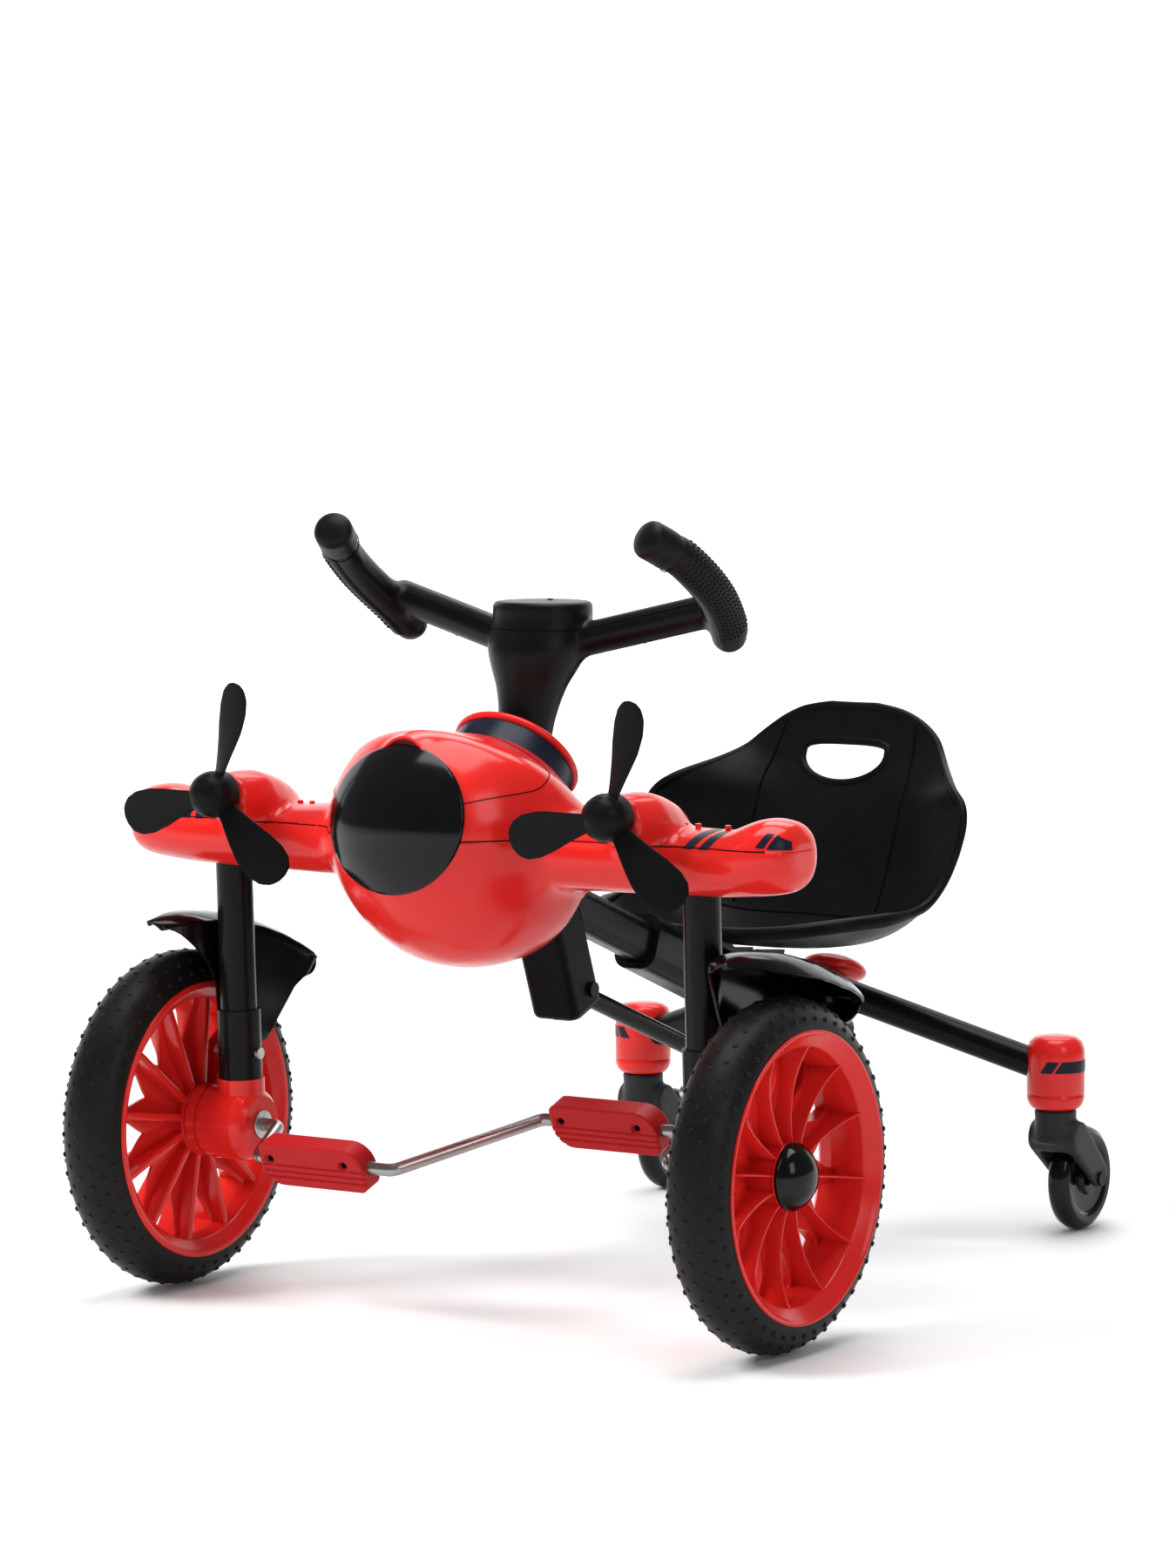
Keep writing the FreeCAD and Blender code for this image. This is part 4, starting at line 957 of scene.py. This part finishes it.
def rim_part():
    centre = (WHEEL_X, 0.0, TYRE_R)
    lip = 29.2
    barrel = rounded_profile([(-lip, 118.6), (-26.4, 118.6), (-26.2, 116.4), (26.2, 116.4), (26.4, 118.6),
                              (lip, 118.6), (lip + 0.2, 116.2), (26.6, 113.6), (19.5, 104.4), (8.0, 101.8),
                              (-10.0, 101.4), (-22.0, 104.0), (-lip, 113.4)], 1.6, 4)
    hub = rounded_profile([(-26.0, 7.0), (-26.0, 30.5), (-22.5, 30.5), (-21.0, 28.0), (-12.0, 27.4),
                           (9.0, 26.6), (12.4, 28.6), (12.4, 7.0)], 1.5, 3)
    parts = [lathe_x(barrel, centre, segments=144), lathe_x(hub, centre, segments=72)]
    rib = [(24.0, -23.5, -10.0), (45.0, -22.5, -9.0), (70.0, -21.5, -6.0), (95.0, -20.5, -8.0),
           (104.0, -20.0, -9.0)]
    fin = [(24.0, -12.0, 12.0), (34.0, -10.0, 9.2), (48.0, -7.0, 7.4), (62.0, -5.0, 7.2), (76.0, -5.0, 8.8),
           (88.0, -7.0, 11.8), (96.0, -9.0, 15.0), (103.5, -4.0, 18.8), (106.0, 14.0, 20.4)]
    for i in range(SPOKE_COUNT):
        turn = 360.0 / SPOKE_COUNT * i + FIRST_SPOKE_DEGREES
        parts += [spoke_petal(turn), spoke_blade(turn, rib, 3.2), spoke_blade(turn, fin, 1.5)]
    return merged(parts)


def hub_cap_part():
    profile = [(311.0, 6.0), (311.0, 27.2), (311.6, 27.9), (313.6, 27.9), (314.2, 27.0), (318.0, 25.6),
               (322.5, 22.4), (326.6, 17.2), (329.2, 11.0), (330.4, 5.0), (330.6, 0.01), (326.0, 0.01),
               (316.0, 6.0)]
    return lathe_x(profile, (0, 0, TYRE_R), segments=96)


def make_wheels():
    tyre, rim, cap = tyre_part(), rim_part(), hub_cap_part()
    for label, body in (("left", "crank"), ("right", "right_wheel")):
        side_piece(label, "_tread", tyre, TYRE, body, "foam_tyre", "_tyre", sharp=60)
        side_piece(label, "_wheel", rim, RED, body, "red_gloss_plastic", "_rim", sharp=40)
        side_piece(label, "_cap", cap, BLACK, body, "black_gloss_plastic", "_hub_cap", sharp=45)


# ---- fenders
FENDER_STOPS = (-19.5, -15.3, -12, -8.5, -5, 0, 6, 15, 26, 36, 43, 45, 50)
CROWN_R = (184.5, 184, 183, 181.5, 180, 178, 176.6, 175.6, 178.6, 184, 190, 192, 196)
CROWN_IN = (273, 262, 257, 253, 251.2, 251.2, 251.2, 251.2, 251.2, 251.2, 251.2, 251.2, 252)
CROWN_OUT = (284, 291, 297, 303, 308, 312, 315, 317, 316, 312, 306, 303, 298)
CROWN_EDGE_R = (181, 177, 173, 169, 165, 162, 160, 159.6, 162, 170, 178, 180, 184)


def crown_row(angle, curl=0.0):
    """Points across the crown, from its inboard edge to its free edge; curl bends the rear end down."""
    top, low, high, edge = [float(np.interp(angle, FENDER_STOPS, values))
                            for values in (CROWN_R, CROWN_IN, CROWN_OUT, CROWN_EDGE_R)]
    middle = 0.5 * (max(low, 262.0) + 298.0)
    row = []
    for s in np.linspace(-1, 1, 25):
        if s < 0:
            x, drop = middle + s * (middle - low), 7.0 * abs(s) ** 2.4
        else:
            x, drop = middle + s ** 0.85 * (high - middle - 5.0 * math.sin(curl)), (top - edge) * s ** 2.2
        a, r = math.radians(angle), top - drop
        if curl:
            hook = 17.0
            centre = top - hook
            reach = hook - drop
            r = centre + reach * math.cos(curl)
            a += reach * math.sin(curl) / centre
        row.append((x, r * math.sin(a), TYRE_R + r * math.cos(a)))
    return row


def fender_part():
    """Crowned top with a hooked rear end, and the fan-shaped panel inboard of the tyre."""
    crown = [crown_row(a) for a in np.linspace(-19.5, 45, 60)]
    crown += [crown_row(45, curl) for curl in np.radians(np.linspace(8, 160, 20))]
    panel = []
    stops = (-19.5, -15.3, -12, -8.5, -5, -4.2, 0, 11, 24, 34, 43.5, 44.2, 47)
    inner = (184, 168, 154, 137, 117, 62, 54, 52, 64, 76, 86, 146, 168)
    for angle in list(np.linspace(-19.3, -5, 12)) + list(np.linspace(-4.2, 43.5, 34)) + [44.2, 45.6, 47]:
        edge = crown_row(angle)[0]
        a = math.radians(angle)
        start = np.array(edge)
        r = float(np.interp(angle, stops, inner))
        end = np.array((max(251.2, edge[0] - 1.0), r * math.sin(a), TYRE_R + r * math.cos(a)))
        panel.append([tuple(end + (start - end) * t) for t in np.linspace(0, 1, 12)])
    return merged([grid(crown), grid(panel)])


def make_fenders():
    part = fender_part()
    for label, _ in SIDES:
        piece = side_piece(label, "_mudguard", part, BLACK, "steering", "black_gloss_plastic", "_fender")
        add_wall(piece, 2.4, 0)
        break_edges(piece, 0.8, 50)


# ---- seat
# bucket sections from the front lip to the top of the back: spine y, z; half width; rim y, z
SEAT = np.array(((365, 288, 52, 366, 289), (368, 285.5, 84, 370, 292), (375, 283, 106, 380, 295.5),
                 (394, 279, 129, 400, 299), (440, 270, 146, 442, 301), (490, 265, 152, 476, 304),
                 (522, 266, 155, 500, 311), (546, 284, 160, 518, 329), (563, 312, 164, 531, 352),
                 (576, 340, 166, 540, 376), (588, 368, 161, 548, 394), (598, 388, 145, 560, 407),
                 (607, 403, 119, 594, 420), (615, 417, 103, 615, 430.5), (622, 434, 91, 627, 443),
                 (628, 449, 79, 632, 453), (632, 460, 66, 634, 461), (634, 467, 49, 634.3, 467.8),
                 (634.5, 472, 24, 634.5, 472.3)))
# power that carries the seat's sections out towards their rims
FULLNESS = 0.93
HOLE_X = 45.0
HOLE_Z = 427.0
HOLE_UP = 12.5
HOLE_DOWN = 25.5


def seat_point(s, t):
    """s runs from lip to top (0 to 1), t from the right rim to the left rim (-1 to 1)."""
    position = s * (len(SEAT) - 1)
    spine_y, spine_z, half, rim_y, rim_z = [smooth_row(position, SEAT[:, k]) for k in range(5)]
    rise = abs(t) ** 3.0
    x = half * math.copysign(abs(t) ** FULLNESS, t)
    return x, spine_y + (rim_y - spine_y) * rise, spine_z + (rim_z - spine_z) * rise


def smooth_row(position, values):
    """Value on the smooth curve through the listed ones; position counts their places."""
    i = min(int(position), len(values) - 2)
    return spline(values[max(i - 1, 0)], values[i], values[i + 1], values[min(i + 2, len(values) - 1)],
                  position - i)


def hole_outline(turn):
    """Edge of the hand hole: nearly flat above and a deep curve below."""
    c, d = math.cos(turn), math.sin(turn)
    up, power, side_power = (HOLE_UP, 0.5, 0.6) if d > 0 else (HOLE_DOWN, 1.0, 1.0)
    return (HOLE_X * math.copysign(abs(c) ** side_power, c),
            HOLE_Z + up * math.copysign(abs(d) ** power, d))


def in_hole(x, z):
    """Below 1 inside the hand hole, above 1 outside it."""
    across = abs(x) / HOLE_X
    if z > HOLE_Z:
        return (across ** 3.3 + ((z - HOLE_Z) / HOLE_UP) ** 4.0) ** 0.27
    return (across ** 2 + ((HOLE_Z - z) / HOLE_DOWN) ** 2) ** 0.5


def make_seat():
    count_s, count_t = 120, 84
    rows = [[seat_point(i / count_s, -1 + 2 * j / count_t) for j in range(count_t + 1)]
            for i in range(count_s + 1)]
    vertices, faces = grid(rows)
    outside = [1.0 if y < 580 else in_hole(x, z) - 1.0 for x, y, z in vertices]
    faces = [f for f in faces if max(outside[i] for i in f) > 0]
    for i in {i for f in faces for i in f if outside[i] < 0}:
        x, y, z = vertices[i]
        scale = 1.0 / max(in_hole(x, z), 0.2)
        vertices[i] = back_point(x * scale, HOLE_Z + (z - HOLE_Z) * scale)
    used = sorted({i for f in faces for i in f})
    place = {old: new for new, old in enumerate(used)}
    shell = [vertices[i] for i in used], [tuple(place[i] for i in f) for f in faces]
    piece = mesh_piece("bucket_seat", *shell, GRAINED, "rear_frame", "black_grained_plastic", ("seat",))
    add_wall(piece, 4.0, 0)
    rim = rows[0] + [row[-1] for row in rows[1:]] + rows[-1][-2::-1] + [row[0] for row in rows[-2:0:-1]]
    smooth = smooth_line(rim + rim[:1], 280)
    ring = [back_point(*hole_outline(turn)) for turn in np.linspace(0, 2 * math.pi, 97)]
    smooth += np.array((0, 1.0, -1.6))
    front = np.clip((470.0 - smooth[:, 1]) / 30.0, 0, 1)
    rolls = [tube(smooth, 4.2 + 2.6 * front, sides=14, caps=False),
             tube(smooth_line(ring, 120), 4.0, sides=12, caps=False)]
    mesh_piece("seat_rolled_edges", *merged(rolls), GRAINED, "rear_frame", "black_grained_plastic")
    make_seat_lines()


def back_point(x, z):
    """Place on the seat's back panel at that x and height."""
    low, high = 0.6, 1.0
    for _ in range(24):
        middle = (low + high) / 2
        position = middle * (len(SEAT) - 1)
        half = smooth_row(position, SEAT[:, 2])
        point = seat_point(middle, math.copysign(min(1.0, abs(x) / half) ** (1 / FULLNESS), x))
        low, high = (middle, high) if point[2] < z else (low, middle)
    return point


def make_seat_lines():
    """Two grooves up the back and one across the crease of the seat."""
    lines = []
    for side in (1, -1):
        spots = []
        for s in np.linspace(0.40, 0.85, 60):
            half = smooth_row(s * (len(SEAT) - 1), SEAT[:, 2])
            x = float(np.interp(s, (0.40, 0.65, 0.85), (75, 76, 68)))
            spots.append(seat_point(s, side * min(0.98, x / half) ** (1 / FULLNESS)))
        lines.append(np.array(spots) + np.array((0, -1.9, 0.8)))
    cross = [seat_point(0.385 + 0.008 * (1 - abs(t)), t * 0.62) for t in np.linspace(-1, 1, 60)]
    lines.append(np.array(cross) + np.array((0, -0.9, 1.8)))
    seam_piece("seat_grooves", lines, "rear_frame", "black_grained_plastic", radius=1.2)


# ---- casters
CASTER_X = 219.8
CASTER_Y = 621.0
CASTER_R = 47.5
TRAIL = 47.0
ARM_OUT = 23.0
ARM_IN = 15.0
BAND_R = 26.55


def caster_field(points):
    """Fork of one caster about its kingpin: neck, sloping cheeks and the room for the wheel."""
    x, y, z = np.abs(points[:, 0]), points[:, 1], points[:, 2]
    radius = soft_curve(z, (84, 92, 104, 118), (20.5, 18.8, 18.2, 19.6), 6)
    neck = smooth_max(np.hypot(points[:, 0], y) - radius, np.abs(z - 101.0) - 15.0, 3.0)
    along, away = to_line(np.stack([y, z], 1), np.array((6.0, 89.5)), np.array((49.5, 52.0)))
    plate = away - (15.5 - 3.0 * along)
    cheeks = smooth_max(plate, x - (ARM_OUT + 0.5 - 2.0 * along), 2.5)
    body = smooth_min(neck, cheeks, 6.0)
    wheel_room = np.hypot(y - TRAIL, z - CASTER_R) - (CASTER_R + 8.5)
    room = smooth_max(wheel_room, x - ARM_IN, 4.0)
    return smooth_max(body, -room, 2.0)


def lathe_z(profile, centre):
    """Solid of revolution about an upright line; the profile is (radius, height) points."""
    segments = 72
    rows = []
    for i in range(segments):
        turn = 2 * math.pi * i / segments
        x, y = math.cos(turn), math.sin(turn)
        rows.append([(centre[0] + r * x, centre[1] + r * y, z) for r, z in profile])
    return grid(rows, wrap_rows=True)


def cap_band(start, end, low, high, slant):
    """Thin film on the cap's round side between two headings, with slanted ends."""
    def place(t, lift):
        heading = math.radians(start + (end - start) * t + slant * lift)
        return (CASTER_X + BAND_R * math.cos(heading), CASTER_Y + BAND_R * math.sin(heading),
                low + (high - low) * lift)
    return grid([[place(i / 16, lift) for lift in (0.0, 0.5, 1.0)] for i in range(17)])


def make_casters():
    fork = sculpt(caster_field, (-27, -24, 30), (27, 64, 120), 2.0)
    profile = [(0.01, 183.4), (12, 183.0), (19, 181.4), (23.6, 177.6), (25.8, 171.5), (26.3, 163),
               (26.3, 131.2), (25.6, 130.6), (25.6, 129.9), (26.2, 129.3), (25.8, 125.0), (24.2, 120.6),
               (21.4, 117.4), (18.6, 116.4), (0.01, 116.4)]
    cap = lathe_z(profile, (CASTER_X, CASTER_Y))
    marks = merged([cap_band(-94, -70, 151, 161.5, 15), cap_band(-65, 50, 151, 161.5, 15)])
    for label, side in SIDES:
        mesh_piece(label + "_caster_yoke", *shifted(fork, (side * CASTER_X, CASTER_Y, 0)), CASTER,
                   label + "_caster", "black_gloss_plastic", (label + "_caster_fork",), sharp=50)
        side_piece(label, "_caster_top", cap, RED, "rear_frame", "red_gloss_plastic", "_caster_cap", sharp=60)
        side_piece(label, "_caster_mark", marks, DECAL, "rear_frame", "black_gloss_plastic")


# ---- pedals
PEDAL_HALF = np.array((52.0, 19.0))
PEDAL_DEPTH = 10.8
PEDAL_TILT = math.radians(20.0)
PEDAL_SHIFT = {"left": -2.0, "right": -6.5}
PEDAL_SCREWS = ((-42.5, 4.5), (32.0, 4.5))


def pedal_field(points):
    """Pedal block about its own pin: two corners are widely rounded and its faces carry long ribs."""
    across, height = points[:, 0], points[:, 2]
    radius = np.where(across * height > 0, 20.0, 6.0)
    reach = np.abs(points[:, [0, 2]]) - PEDAL_HALF + radius[:, None]
    outline = np.linalg.norm(np.maximum(reach, 0), axis=1) + np.minimum(reach.max(axis=1), 0) - radius
    ribbed = np.clip((2.0 - height) / 1.5, 0, 1) * np.clip((height + 17.0) / 1.5, 0, 1)
    groove = 1.3 * ribbed * np.clip(2.5 * np.cos(2 * math.pi * height / 5.4) - 1.1, 0, 1)
    well = np.ones(len(points))
    for x, z in PEDAL_SCREWS:
        well = np.minimum(well, (np.hypot(across - x, height - z) - 3.6) / 1.2)
    sunk = 2.6 * np.clip(1.0 - well, 0, 1) * (points[:, 1] < 0)
    return smooth_max(outline, np.abs(points[:, 1]) - (PEDAL_DEPTH - groove - sunk), 1.6)


def make_pedals():
    block = sculpt(pedal_field, (-54, -13, -21), (54, 13, 21), 1.1)
    heads = merged([dome((x, 2.8 - PEDAL_DEPTH, z), (0, -1, 0), 3.2, 1.0) for x, z in PEDAL_SCREWS])
    turn = Matrix.Rotation(PEDAL_TILT, 4, "X")
    for label, _ in SIDES:
        front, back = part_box(label + "_pedal_front"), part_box(label + "_pedal_back")
        low = [min(a, b) for a, b in zip(front[0], back[0])]
        high = [max(a, b) for a, b in zip(front[1], back[1])]
        centre = [(a + b) / 2 / MM for a, b in zip(low, high)]
        centre = (centre[0] + PEDAL_SHIFT[label], centre[1] - AXLE.y / MM, centre[2])
        spot = Matrix.Translation(centre) @ turn
        mesh_piece(label + "_pedal_block", *moved(block, spot), RED_SATIN, label + "_pedal",
                   "red_satin_plastic", (label + "_pedal_front", label + "_pedal_back"), sharp=50)
        mesh_piece(label + "_pedal_heads", *moved(heads, spot), SEAM, label + "_pedal", "zinc_plated_steel",
                   (label + "_pedal_screws",))


# ---- stage
# metres, the starts and ends measured from the middle of the scene; GLOW is an emission strength
FLOOR_REACH = 14.0
SWEEP_START = 8.0
SWEEP_R = 1.8
SWEEP_TOP = 7.0
GLOW_START = 1.2
GLOW_FULL = 4.0
GLOW = 0.95
LIT_SPOT = (0, 0, 0.35)


def make_floor():
    """Plain pale paper that runs under the tricycle, glows softly far away and sweeps up behind it."""
    azimuth = math.radians(CAMERA_AZIMUTH)
    away = Vector((-math.sin(azimuth), math.cos(azimuth), 0))
    across = Vector((math.cos(azimuth), math.sin(azimuth), 0))
    profile = [(-FLOOR_REACH, 0.0), (SWEEP_START, 0.0)]
    for a in np.radians(np.arange(5, 91, 5)):
        profile.append((SWEEP_START + SWEEP_R * math.sin(a), SWEEP_R - SWEEP_R * math.cos(a)))
    profile.append((SWEEP_START + SWEEP_R, SWEEP_TOP))
    rows = [[tuple(away * distance + across * side + Vector((0, 0, height)))
             for side in (-FLOOR_REACH, FLOOR_REACH)] for distance, height in profile]
    vertices, faces = grid(rows)
    mesh = bpy.data.meshes.new("floor")
    mesh.from_pydata(vertices, [], faces)
    mesh.shade_smooth()
    mesh.materials.append(floor_paper())
    placed("floor", mesh)


def make_light(name, place, size, power, mirrored=True):
    data = bpy.data.lights.new(name, "AREA")
    data.shape = "RECTANGLE"
    data.size, data.size_y = size
    data.energy = power
    light = placed(name, data)
    light.location = place
    light.visible_glossy = mirrored
    light.rotation_euler = (Vector(LIT_SPOT) - Vector(place)).to_track_quat("-Z", "Y").to_euler()


def make_lights():
    make_light("key", (-1.9, -2.3, 3.0), (1.6, 1.6), 165, mirrored=False)
    make_light("fill", (3.4, -1.4, 2.0), (1.2, 2.0), 26)
    make_light("top", (0.3, 0.0, 3.4), (2.2, 2.2), 90)
    make_light("back", (-0.6, 2.0, 2.8), (2.0, 1.2), 30)
    world = bpy.data.worlds.new("studio")
    world.use_nodes = True
    world.node_tree.nodes["Background"].inputs["Color"].default_value = (0.95, 0.97, 1.0, 1.0)
    world.node_tree.nodes["Background"].inputs["Strength"].default_value = 0.22
    bpy.context.scene.world = world
    bpy.context.scene.view_settings.view_transform = "Standard"


def make_camera():
    data = bpy.data.cameras.new("camera")
    data.lens = CAMERA_LENS
    data.sensor_width = 36.0
    data.clip_end = 50.0
    camera = placed("camera", data)
    camera.location = at(*CAMERA_AT)
    azimuth, elevation = math.radians(CAMERA_AZIMUTH), math.radians(CAMERA_ELEVATION)
    back = Vector((math.sin(azimuth) * math.cos(elevation), -math.cos(azimuth) * math.cos(elevation),
                   math.sin(elevation)))
    camera.rotation_euler = (-back).to_track_quat("-Z", "Y").to_euler()
    bpy.context.scene.camera = camera


dress_cad_nodes()
make_plane()
make_nose()
make_wing_marks()
make_propellers()
make_handlebar()
make_grips()
make_wheels()
make_fenders()
make_seat()
make_casters()
make_pedals()
make_floor()
make_lights()
make_camera()
